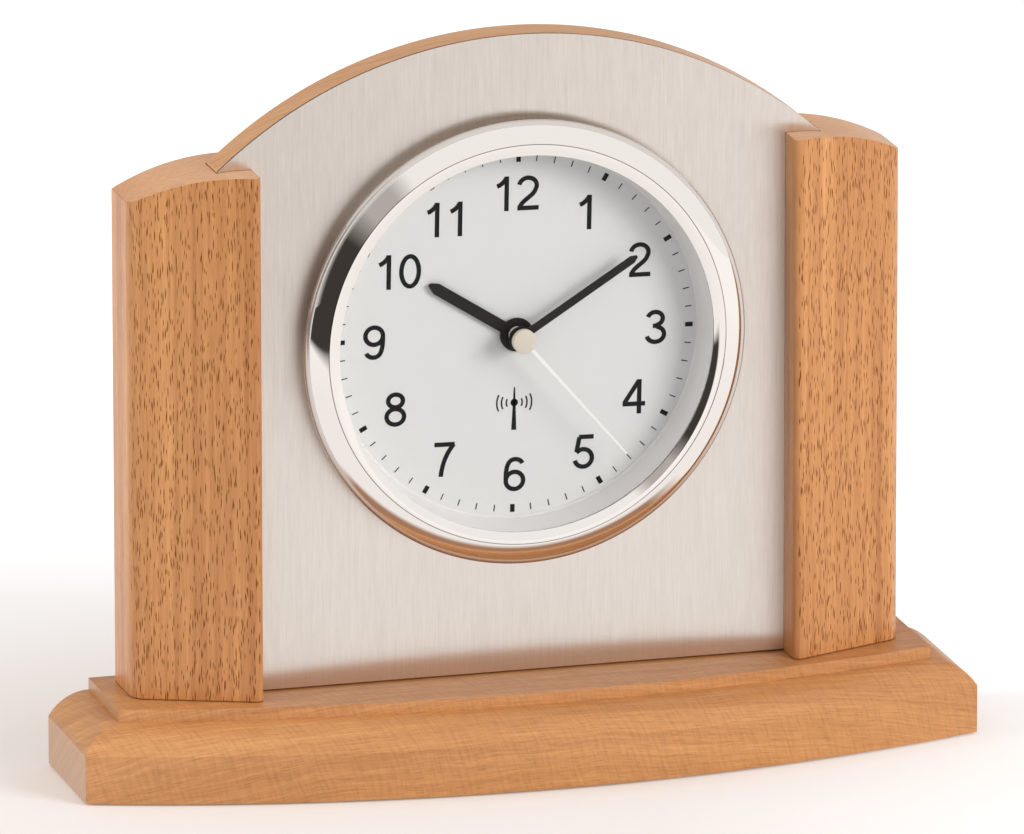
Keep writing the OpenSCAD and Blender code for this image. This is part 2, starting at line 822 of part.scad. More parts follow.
module minute_rotor() {
    color("#6A6D72") on_axis(minute_rotor_at) {
        pinion(pinion_n, train_module, 3, minute_rotor_turn);
        magnet(5);
        bar(2 * pivot_r, layer_y(3), layer_y(5));
        arbor();
    }
}

module second_wheel() {
    shaft_front_y = face_y - cap_front + cap_h / 2 + joint_gap;
    color(nylon) on_axis() {
        wheel(final_n, train_module, 4);
        bar(2 * shaft_r, layer_y(4), layer_y(5));
        bar(shaft_r, shaft_front_y, cover_in_y + pivot_depth - joint_gap);
    }
}

module second_transfer_wheel() {
    color(nylon) on_axis(second_transfer_at) {
        pinion(pinion_n, train_module, 4, second_transfer_turn);
        wheel(transfer_n, train_module, 5, second_transfer_turn);
        bar(2 * pivot_r, layer_y(4), layer_y(5) + gear_t);
        arbor();
    }
}

module second_rotor() {
    color("#6A6D72") on_axis(second_rotor_at) {
        pinion(pinion_n, train_module, 5, second_rotor_turn);
        magnet(3);
        bar(2 * pivot_r, layer_y(3), layer_y(5));
        arbor();
    }
}

// The rotor's magnet, level with its stator
module magnet(layer) {
    middle = layer_y(layer) + stator_t / 2;
    bar(magnet_r, middle - magnet_h / 2, middle + magnet_h / 2);
}

// A motor's iron circuit on the right-hand side: plate round the rotor, two legs and the core through the coil
module stator(layer) {
    at = second_rotor_at;
    half = rotor_hole_r + stator_pad;
    on_axis() plate(layer_y(layer), layer_y(layer) + stator_t) difference() {
        union() {
            translate([stator_in_x, stator_bar_low])
                square([stator_out_x - stator_in_x, stator_bar_high - stator_bar_low]);
            translate([at[0] - half, at[1] - half]) square([stator_out_x - at[0] + half, 2 * half]);
            translate([stator_in_x, stator_bar_low]) square([stator_leg_w, core_high_z - stator_bar_low]);
            translate([stator_out_x - stator_leg_w, stator_bar_low])
                square([stator_leg_w, core_high_z - stator_bar_low]);
            translate([stator_in_x, core_low_z])
                square([stator_out_x - stator_in_x, core_high_z - core_low_z]);
        }
        translate(at) circle(r = rotor_hole_r);
    }
}

// The winding round a stator's core
module coil(layer) {
    from_x = stator_in_x + stator_leg_w + coil_gap;
    to_x = stator_out_x - stator_leg_w - coil_gap;
    middle = layer_y(layer) + stator_t / 2;
    on_axis() difference() {
        translate([from_x, middle, coil_z]) rotate([0, 90, 0]) cylinder(r = coil_r, h = to_x - from_x);
        translate([from_x - cut, layer_y(layer) - joint_gap, core_low_z - joint_gap])
            cube([to_x - from_x + 2 * cut, stator_t + 2 * joint_gap, core_high_z - core_low_z + 2 * joint_gap]);
    }
}

module second_stator() {
    color(steel) stator(3);
}

module second_coil() {
    color("#A9562B") coil(3);
}

module minute_stator() {
    color(steel) mirror([1, 0, 0]) stator(5);
}

module minute_coil() {
    color("#A9562B") mirror([1, 0, 0]) coil(5);
}

// Places children at the four posts that the cover is screwed to
module cover_screw_places() {
    both_sides() for (z = [post_low_z, post_high_z]) on_axis([post_x, z]) children();
}

// Posts under a stator, at its outer leg
module stator_posts(layer) {
    at_x = stator_out_x - stator_leg_w / 2;
    for (z = [second_rotor_at[1] - rotor_hole_r + stator_pad / 2, coil_z])
        on_axis([at_x, z]) bar(stator_post_r, plate_in_y - case_wall / 2, layer_y(layer));
}

module case_shell() {
    on_axis() {
        difference() {
            union() {
                plate(case_front_y, cover_in_y) translate([-case_w / 2, case_low_z])
                    square([case_w, case_high_z - case_low_z]);
                plate(plate_in_y, case_back_y) translate([-case_w / 2, case_low_z])
                    square([case_w, divider_low_z - case_low_z]);
            }
            plate(plate_in_y, case_back_y) translate([-case_in_x, divider_high_z])
                square([2 * case_in_x, case_high_z - case_wall - divider_high_z]);
            plate(plate_in_y, case_back_y + cut) translate([-bay_half, bay_floor_z])
                square([2 * bay_half, divider_low_z - bay_floor_z]);
        }
        bar(bush_r, case_front_y - floor_t - dial_t / 2, plate_in_y - case_wall / 2);
        both_sides() plate(case_front_y + ear_boss_h, case_front_y + ear_boss_h + ear_t)
            translate([case_in_x, -ear_w / 2]) square([ear_w / 2 + ear_x - case_in_x, ear_w]);
        both_sides() plate(plate_in_y - case_wall / 2, antenna_y - antenna_r - joint_gap)
            translate([saddle_x - saddle_w / 2, antenna_z - antenna_r / 2]) square([saddle_w, antenna_r]);
    }
    cover_screw_places() bar(post_r, plate_in_y - case_wall / 2, cover_in_y);
    both_sides() on_axis([post_x, post_low_z])
        bar(post_r + board_thin, plate_in_y - case_wall / 2, circuit_front_y);
    stator_posts(3);
    mirror([1, 0, 0]) stator_posts(5);
    on_axis(motion_at) bar(motion_pin_r, plate_in_y - case_wall / 2, layer_y(1) + gear_t + joint_gap);
}

module movement_case() {
    color(grey_plastic) difference() {
        case_shell();
        on_axis() bar(bush_bore_r, face_y, plate_in_y + cut);
        for (at = [second_transfer_at, minute_transfer_at, second_rotor_at, minute_rotor_at])
            on_axis(at) bar(pivot_r + run_fit, plate_in_y - pivot_depth, plate_in_y + cut);
        cover_screw_places() bar(cover_screw_r + joint_gap / 2, cover_in_y - cover_screw_l, cover_in_y + cut);
        both_sides() on_axis([ear_x, 0]) bar(ear_hole_r, case_front_y, case_front_y + ear_boss_h + ear_t + cut);
    }
}

// The three buttons' places, from left to right
button_ats = [[-button_pitch, button_z], [0, button_z], [button_pitch, button_z]];

module back_cover() {
    color(grey_plastic) difference() {
        on_axis() plate(cover_in_y, case_back_y) translate([-case_w / 2, divider_low_z])
            square([case_w, case_high_z - divider_low_z]);
        for (at = [[0, 0], second_transfer_at, minute_transfer_at, second_rotor_at, minute_rotor_at])
            on_axis(at) bar((at == [0, 0] ? shaft_r : pivot_r) + run_fit, cover_in_y - cut, cover_in_y + pivot_depth);
        cover_screw_places() bar(cover_screw_r + joint_gap, cover_in_y - cut, case_back_y + cut);
        for (at = button_ats) on_axis(at) bar(button_r + joint_gap, cover_in_y - cut, case_back_y + cut);
    }
}

module cover_screws() {
    color(steel) cover_screw_places() {
        bar(cover_screw_r, cover_in_y - cover_screw_l + joint_gap, case_back_y + cover_head_h / 2);
        bar(cover_head_r, case_back_y, case_back_y + cover_head_h);
    }
}

module movement_screws() {
    ear_back_y = case_front_y + ear_boss_h + ear_t;
    color(steel) both_sides() on_axis([ear_x, 0]) {
        bar(ear_screw_r, ear_back_y - ear_screw_l + joint_gap, ear_back_y + ear_head_h / 2);
        bar(ear_head_r, ear_back_y, ear_back_y + ear_head_h);
    }
}

module circuit_board() {
    color("#2E6B46") difference() {
        on_axis() plate(circuit_front_y, circuit_back_y) translate([joint_gap - case_in_x, circuit_low_z])
            square([2 * (case_in_x - joint_gap), circuit_high_z - circuit_low_z]);
        on_axis() bar(3 * shaft_r, circuit_front_y - cut, circuit_back_y + cut);
        both_sides() on_axis() plate(circuit_front_y - cut, circuit_back_y + cut)
            translate([post_x - post_r - joint_gap, circuit_low_z - cut])
                square([2 * post_r + cut, post_low_z + post_r + joint_gap - circuit_low_z + cut]);
    }
}

module control_chip() {
    color("#1B1B1D") on_axis(chip_at) translate([-chip_w / 2, circuit_front_y - chip_h, -chip_w / 2])
        cube([chip_w, chip_h, chip_w]);
}

module crystal() {
    color(steel) on_axis(crystal_at) translate([-crystal_l / 2, circuit_front_y - crystal_r, 0])
        rotate([0, 90, 0]) cylinder(r = crystal_r, h = crystal_l);
}

module antenna_rod() {
    color("#2B2B2E") on_axis([0, antenna_z]) translate([-antenna_l / 2, antenna_y, 0])
        rotate([0, 90, 0]) cylinder(r = antenna_r, h = antenna_l);
}

module antenna_coil() {
    color("#A9562B") on_axis([0, antenna_z]) translate([-antenna_coil_l / 2, antenna_y, 0]) rotate([0, 90, 0])
        difference() {
            cylinder(r = antenna_coil_r, h = antenna_coil_l);
            translate([0, 0, -cut]) cylinder(r = antenna_r + joint_gap, h = antenna_coil_l + 2 * cut);
        }
}

module contact_plate() {
    color(brass_tone) on_axis([bay_half - contact_t, battery_z])
        translate([0, battery_y - contact_w / 2, -contact_w / 2]) cube([contact_t, contact_w, contact_w]);
}

module contact_spring() {
    color(steel) on_axis([-bay_half, battery_z]) translate([0, battery_y, 0]) rotate([0, 90, 0])
        cylinder(r1 = spring_wide_r, r2 = spring_narrow_r, h = spring_l);
}

module battery() {
    color("#3F6F8F") on_axis([battery_right_x - battery_l, battery_z]) translate([0, battery_y, 0]) rotate([0, 90, 0]) {
        cylinder(r = battery_r, h = battery_l - battery_nub_l);
        cylinder(r = battery_nub_r, h = battery_l);
    }
}

// A push-button with the flange that keeps it behind the cover
module button(at) {
    flange_back_y = cover_in_y - joint_gap;
    color(nylon) on_axis(at) {
        bar(button_r, flange_back_y - button_flange_t, case_back_y + button_stand);
        bar(button_r + button_flange_w, flange_back_y - button_flange_t, flange_back_y);
    }
}

module wave_button() {
    button(button_ats[0]);
}

module set_button() {
    button(button_ats[1]);
}

module reset_button() {
    button(button_ats[2]);
}

base();
left_pillar();
right_pillar();
arch_board();
front_sheet();
foot_pads();
pillar_screws();
board_dowels();
bezel();
glass();
dial_ring();
dial();
insert_sleeve();
holding_claws();
claw_screws();
hour_hand();
minute_hand();
second_hand();
movement_case();
back_cover();
cover_screws();
movement_screws();
hour_wheel();
motion_wheel();
minute_wheel();
minute_transfer_wheel();
minute_rotor();
minute_stator();
minute_coil();
second_wheel();
second_transfer_wheel();
second_rotor();
second_stator();
second_coil();
circuit_board();
control_chip();
crystal();
antenna_rod();
antenna_coil();
contact_plate();
contact_spring();
battery();
wave_button();
set_button();
reset_button();
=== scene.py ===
"""Dresses the table clock: beech case, brushed front, polished bezel, dial, hands and quartz movement."""

import logging
import math
from collections.abc import Callable, Iterable, Mapping, Sequence
from dataclasses import dataclass
from enum import Enum

import bmesh
import bpy
from mathutils import Matrix, Vector


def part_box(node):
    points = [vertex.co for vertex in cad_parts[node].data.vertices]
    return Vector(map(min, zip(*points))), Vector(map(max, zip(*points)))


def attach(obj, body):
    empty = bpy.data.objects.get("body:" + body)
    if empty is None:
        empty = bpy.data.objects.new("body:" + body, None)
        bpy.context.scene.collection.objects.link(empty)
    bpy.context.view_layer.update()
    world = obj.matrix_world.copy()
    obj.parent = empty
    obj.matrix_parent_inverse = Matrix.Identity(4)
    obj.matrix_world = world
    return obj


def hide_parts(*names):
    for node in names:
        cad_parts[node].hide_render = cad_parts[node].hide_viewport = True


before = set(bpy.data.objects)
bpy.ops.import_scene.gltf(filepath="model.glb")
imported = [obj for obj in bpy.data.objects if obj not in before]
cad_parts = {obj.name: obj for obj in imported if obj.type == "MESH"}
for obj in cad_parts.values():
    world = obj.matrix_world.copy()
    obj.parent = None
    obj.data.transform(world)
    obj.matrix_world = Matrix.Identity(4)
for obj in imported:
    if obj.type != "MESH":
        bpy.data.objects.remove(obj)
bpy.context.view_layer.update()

MM = 0.001
WELD = MM / 1000
SMALL_STEPS = 48
LOG = logging.getLogger("clock")
Colour = tuple[float, float, float]
Edges = list[bmesh.types.BMEdge]
Look = bpy.types.Material
Mesh = bmesh.types.BMesh
Point = tuple[float, float]
Triple = tuple[float, float, float]
Socket = bpy.types.NodeSocket


class Grain(Enum):
    """The way the fibres of a wooden piece run."""

    ACROSS = "X"
    UPRIGHT = "Z"


class Turn(Enum):
    """The direction in which a turned piece's height is measured."""

    UP = "up"
    FORWARD = "forward"
    RIGHT = "right"
    BACK = "back"


# Meshes


def arc(centre: Point, radius: float, start: float, end: float, steps: int) -> list[Point]:
    """Points of an arc.

    Args:
        centre: The arc's centre.
        radius: Its radius.
        start: The first point's angle in degrees.
        end: The last point's angle in degrees.
        steps: How many chords it has.

    Returns:
        The points, both ends included.
    """
    angles = [math.radians(start + (end - start) * i / steps) for i in range(steps + 1)]
    return [(centre[0] + radius * math.cos(a), centre[1] + radius * math.sin(a)) for a in angles]


def circle(radius: float, steps: int, centre: Point = (0, 0)) -> list[Point]:
    """Points of a full circle."""
    return arc(centre, radius, 0, 360, steps)[:-1]


def bow_radius(half: float, bow: float) -> float:
    """Radius of an arc that rises by bow over half of its chord."""
    return (half * half + bow * bow) / (2 * bow)


def level(points: Iterable[Point], height: float = 0.0) -> list[Vector]:
    """Flat points put at one height."""
    return [Vector((x, y, height)) for x, y in points]


def ring(bm: Mesh, points: Iterable[Sequence[float]]) -> Edges:
    """Adds a closed ring of edges through points.

    Args:
        bm: The mesh to add it to.
        points: The ring's points in order.

    Returns:
        The ring's edges.
    """
    verts = [bm.verts.new(p) for p in points]
    return [bm.edges.new((a, b)) for a, b in zip(verts, verts[1:] + verts[:1])]


def walls(bm: Mesh, rings: Sequence[Edges]) -> None:
    """Joins rings with walls, one after another."""
    for low, high in zip(rings, rings[1:]):
        bmesh.ops.bridge_loops(bm, edges=low + high)


def skin(bm: Mesh, rings: Sequence[Edges]) -> None:
    """Joins rings with walls and closes both ends.

    Args:
        bm: The mesh that holds the rings.
        rings: The rings from one end to the other.
    """
    walls(bm, rings)
    for end in (rings[0], rings[-1]):
        bmesh.ops.edgeloop_fill(bm, edges=end)


def thicken(bm: Mesh, shift: Vector) -> None:
    """Gives flat faces a thickness.

    Args:
        bm: The flat mesh.
        shift: The way along which its faces are extruded.
    """
    made = bmesh.ops.extrude_face_region(bm, geom=bm.faces[:])
    verts = [g for g in made["geom"] if isinstance(g, bmesh.types.BMVert)]
    bmesh.ops.translate(bm, verts=verts, vec=shift)


def sheet_with_holes(loops: Sequence[Iterable[Sequence[float]]], shift: Vector) -> Mesh:
    """Makes a flat piece with holes.

    Args:
        loops: The outer loop and then each hole's loop, all in one plane.
        shift: The thickness, as a way to extrude the plane.

    Returns:
        The closed mesh.
    """
    bm = bmesh.new()
    edges = [edge for loop in loops for edge in ring(bm, loop)]
    bmesh.ops.triangle_fill(bm, use_beauty=True, use_dissolve=False, edges=edges)
    thicken(bm, shift)
    return bm


def turned(profile: Sequence[Point], steps: int = 96, closed: bool = True) -> Mesh:
    """Turns a profile of radius and height round the upright axis.

    Args:
        profile: Points of radius and height.
        steps: How many sides the round has.
        closed: Whether the profile closes on itself; an open one starts and ends on the axis.

    Returns:
        The closed mesh.
    """
    bm = bmesh.new()
    verts = [bm.verts.new((r, 0, h)) for r, h in profile]
    pairs = list(zip(verts, verts[1:] + (verts[:1] if closed else [])))
    edges = [bm.edges.new(pair) for pair in pairs]
    round_trip = {"cent": (0, 0, 0), "axis": (0, 0, 1), "angle": 2 * math.pi, "steps": steps}
    bmesh.ops.spin(bm, geom=verts + edges, use_merge=True, **round_trip)
    bmesh.ops.remove_doubles(bm, verts=bm.verts[:], dist=WELD)
    return bm


def eased(points: Sequence[Point], size: float, steps: int = 3) -> list[Point]:
    """Rounds the corners of a closed profile.

    Args:
        points: The profile's corners.
        size: How far from each corner the rounding starts.
        steps: How many chords each rounding has.

    Returns:
        The profile with its corners rounded.
    """
    result = []
    for i, point in enumerate(points):
        here = Vector(point)
        before = (Vector(points[i - 1]) - here).normalized() * size
        after = (Vector(points[(i + 1) % len(points)]) - here).normalized() * size
        for k in range(steps + 1):
            t = k / steps
            at = here + before * (1 - t) ** 2 + after * t**2
            result.append((at.x, at.y))
    return result


def block(low: Sequence[float], high: Sequence[float]) -> Mesh:
    """Makes a box.

    Args:
        low: Its lowest corner.
        high: Its highest corner.

    Returns:
        The closed mesh.
    """
    bm = bmesh.new()
    bmesh.ops.create_cube(bm, size=1)
    size = Vector(high) - Vector(low)
    bmesh.ops.scale(bm, vec=size, verts=bm.verts)
    bmesh.ops.translate(bm, vec=(Vector(high) + Vector(low)) / 2, verts=bm.verts)
    return bm


def merge(parts: Iterable[Mesh]) -> Mesh:
    """Puts several meshes into one.

    Args:
        parts: The meshes, freed here.

    Returns:
        One mesh with all of them.
    """
    whole = bmesh.new()
    for part in parts:
        mesh = bpy.data.meshes.new("part")
        part.to_mesh(mesh)
        part.free()
        whole.from_mesh(mesh)
        bpy.data.meshes.remove(mesh)
    return whole


def at_place(bm: Mesh, place: Sequence[float], turn: Turn = Turn.UP) -> Mesh:
    """Moves a turned piece to its place.

    Args:
        bm: The piece, turned round the upright axis.
        place: Where its origin goes.
        turn: The direction its height points to.

    Returns:
        The same mesh.
    """
    turns = {
        Turn.UP: Matrix.Identity(4),
        Turn.FORWARD: Matrix.Rotation(math.pi / 2, 4, "X"),
        Turn.BACK: Matrix.Rotation(-math.pi / 2, 4, "X"),
        Turn.RIGHT: Matrix.Rotation(math.pi / 2, 4, "Y"),
    }
    bmesh.ops.transform(bm, matrix=Matrix.Translation(place) @ turns[turn], verts=bm.verts)
    return bm


def clockwise(bm: Mesh, angle: float, centre_z: float) -> Mesh:
    """Turns a mesh clockwise, seen from the front, round the hands' axis.

    Args:
        bm: The mesh.
        angle: The angle in degrees.
        centre_z: Height of the axis.

    Returns:
        The same mesh.
    """
    spot = Matrix.Translation((0, 0, centre_z))
    matrix = spot @ Matrix.Rotation(math.radians(angle), 4, "Y") @ spot.inverted()
    bmesh.ops.transform(bm, matrix=matrix, verts=bm.verts)
    return bm


@dataclass
class Piece:
    """A finished piece and what it stands for."""

    name: str
    slot: str
    look: Look
    nodes: tuple[str, ...] = ()
    body: str = "clock"
    sharp: float = 28
    ease: float = 0
    ease_steps: int = 2

    def build(self, bm: Mesh) -> None:
        """Turns a mesh into the piece's object, riding on its body.

        Args:
            bm: The finished mesh, freed here.
        """
        bmesh.ops.recalc_face_normals(bm, faces=bm.faces)
        mesh = bpy.data.meshes.new(self.name)
        bm.to_mesh(mesh)
        bm.free()
        mesh.polygons.foreach_set("use_smooth", [True] * len(mesh.polygons))
        mesh.set_sharp_from_angle(angle=math.radians(self.sharp))
        mesh.materials.append(self.look)
        obj = bpy.data.objects.new(self.name, mesh)
        bpy.context.scene.collection.objects.link(obj)
        if self.ease:
            bevel = obj.modifiers.new("eased_edges", "BEVEL")
            bevel.width = self.ease
            bevel.segments = self.ease_steps
            bevel.limit_method = "ANGLE"
            bevel.angle_limit = math.radians(self.sharp)
            bevel.harden_normals = True
        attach(obj, self.body)
        if self.nodes:
            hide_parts(*self.nodes)
        LOG.info("%s: %d faces", self.name, len(mesh.polygons))


# Finishes


@dataclass
class Shader:
    """A material in the making, with short ways to add its nodes."""

    name: str
    material: Look | bpy.types.World | None = None

    def __post_init__(self) -> None:
        """Starts a material with one principled surface, unless a world was given."""
        if self.material is None:
            self.material = bpy.data.materials.new(self.name)
            self.material.use_nodes = True

    @property
    def tree(self) -> bpy.types.NodeTree:
        """The nodes."""
        return self.material.node_tree

    @property
    def surface(self) -> bpy.types.Node:
        """The material's surface."""
        return self.tree.nodes["Principled BSDF"]

    def node(self, kind: str, **values: object) -> bpy.types.Node:
        """Adds a node.

        Args:
            kind: The node's type without its ShaderNode prefix.
            values: Its settings, or values of its inputs by their names in capitals.

        Returns:
            The node.
        """
        made = self.tree.nodes.new("ShaderNode" + kind)
        for key, value in values.items():
            if key[0].isupper():
                self.feed(made.inputs[key.replace("_", " ")], value)
            else:
                setattr(made, key, value)
        return made

    def feed(self, socket: Socket, value: object) -> None:
        """Gives a socket its value.

        Args:
            socket: The input socket.
            value: An output to link it to, or a plain value.
        """
        if isinstance(value, Socket):
            self.tree.links.new(value, socket)
        else:
            socket.default_value = value

    def coordinates(self, kind: str = "Object") -> Socket:
        """The object's coordinates, or another kind such as its normal."""
        return self.node("TexCoord").outputs[kind]

    def split(self, vector: Socket) -> Mapping[str, Socket]:
        """The X, Y and Z of a vector."""
        return self.node("SeparateXYZ", Vector=vector).outputs

    def scaled(self, vector: Socket, scale: Sequence[float]) -> Socket:
        """A vector scaled along each axis."""
        return self.node("Mapping", Vector=vector, Scale=tuple(scale)).outputs["Vector"]

    def place(self, scale: Sequence[float]) -> Socket:
        """The object's coordinates, scaled along each axis."""
        return self.scaled(self.coordinates(), scale)

    def noise(self, vector: Socket, detail: float = 2, roughness: float = 0.5) -> Socket:
        """A cloud of values between 0 and 1 over a vector."""
        made = self.node("TexNoise", Vector=vector, Scale=1.0, Detail=detail, Roughness=roughness)
        return made.outputs["Fac"]

    def cloud(self, scale: float, detail: float, roughness: float = 0.5) -> Socket:
        """A cloud of values between 0 and 1 over the object, even in all directions."""
        return self.noise(self.place((scale,) * 3), detail, roughness)

    def ramp(self, value: Socket, low: float, high: float) -> Socket:
        """Spreads values over 0 to 1.

        Args:
            value: The value.
            low: What becomes 0.
            high: What becomes 1.

        Returns:
            The value spread over 0 to 1 and held there.
        """
        node = self.node("MapRange", Value=value)
        node.inputs["From Min"].default_value = low
        node.inputs["From Max"].default_value = high
        return node.outputs["Result"]

    def size_ramp(self, value: Socket, low: float, high: float) -> Socket:
        """Spreads a value's size over 0 to 1, whatever its sign."""
        return self.ramp(self.calc("ABSOLUTE", value), low, high)

    def between(self, value: Socket, low: float, high: float) -> Socket:
        """Spreads values from 0 to 1 over a range.

        Args:
            value: The value.
            low: What 0 becomes.
            high: What 1 becomes.

        Returns:
            The value in the range.
        """
        node = self.node("MapRange", Value=value)
        node.inputs["To Min"].default_value = low
        node.inputs["To Max"].default_value = high
        return node.outputs["Result"]

    def mix(self, amount: object, a: object, b: object) -> Socket:
        """Mixes two colours.

        Args:
            amount: The second colour's share.
            a: The first colour.
            b: The second colour.

        Returns:
            The mixed colour.
        """
        node = self.node("Mix", data_type="RGBA")
        self.feed(node.inputs[0], amount)
        for socket, value in ((node.inputs[6], a), (node.inputs[7], b)):
            self.feed(socket, value if isinstance(value, Socket) else (*value, 1))
        return node.outputs[2]

    def calc(self, operation: str, *values: object) -> Socket:
        """Does one sum.

        Args:
            operation: The Math node's name for it.
            values: The values that it takes.

        Returns:
            The result.
        """
        node = self.node("Math", operation=operation)
        for socket, value in zip(node.inputs, values):
            self.feed(socket, value)
        return node.outputs[0]

    def plus(self, a: Socket, b: object) -> Socket:
        """The sum of two values."""
        return self.calc("ADD", a, b)

    def times(self, a: Socket, b: object) -> Socket:
        """The product of two values."""
        return self.calc("MULTIPLY", a, b)

    def larger(self, a: Socket, b: Socket) -> Socket:
        """The larger of two values."""
        return self.calc("MAXIMUM", a, b)

    def opposite(self, value: Socket) -> Socket:
        """What a value leaves of 1."""
        return self.calc("SUBTRACT", 1.0, value)

    def relief(self, height: Socket, depth: float) -> None:
        """Presses a height pattern into the surface, up to depth in metres."""
        bump = self.node("Bump", Height=height, Distance=depth, Strength=1.0)
        self.feed(self.surface.inputs["Normal"], bump.outputs["Normal"])

    def set(self, **values: object) -> None:
        """Sets or links the surface's own sockets.

        Args:
            values: The values by the sockets' names, with _ for each space.
        """
        for key, value in values.items():
            socket = self.surface.inputs[key.replace("_", " ")]
            is_colour = isinstance(value, tuple) and socket.type == "RGBA"
            self.feed(socket, (*value, 1) if is_colour else value)


@dataclass(frozen=True)
class Tone:
    """One layer of a wood's tone, with features longer along the grain than across it.

    The noise between the two ends of span is spread over 0 to 1, and share is its weight among the layers.
    """

    across: float
    along: float
    detail: float
    span: Point
    share: float = 1.0
    roughness: float = 0.5

    def over(self, s: Shader, plane: Socket) -> Socket:
        """The layer's values between 0 and 1 over the plane of the grain."""
        vector = s.scaled(plane, (1 / self.across, 1 / self.along, 1.0))
        return s.ramp(s.noise(vector, self.detail, self.roughness), *self.span)


@dataclass(frozen=True)
class Flecks:
    """Short dark strokes, one in some of the cells of a size."""

    across: float
    along: float
    share: float
    edge: Point = (0.27, 0.12)
    pick_width: float = 0.1

    def over(self, s: Shader, plane: Socket) -> Socket:
        """Draws the strokes on the plane of the grain.

        Args:
            s: The material in the making.
            plane: The coordinates across and along the grain.

        Returns:
            1 in a stroke and 0 outside.
        """
        vector = s.scaled(plane, (1 / self.across, 1 / self.along, 1.0))
        cells = s.node("TexVoronoi", voronoi_dimensions="2D", Vector=vector, Scale=1.0).outputs
        picked = s.ramp(s.split(cells["Color"])["X"], 1 - self.share, 1 + self.pick_width - self.share)
        return s.times(s.ramp(cells["Distance"], *self.edge), picked)


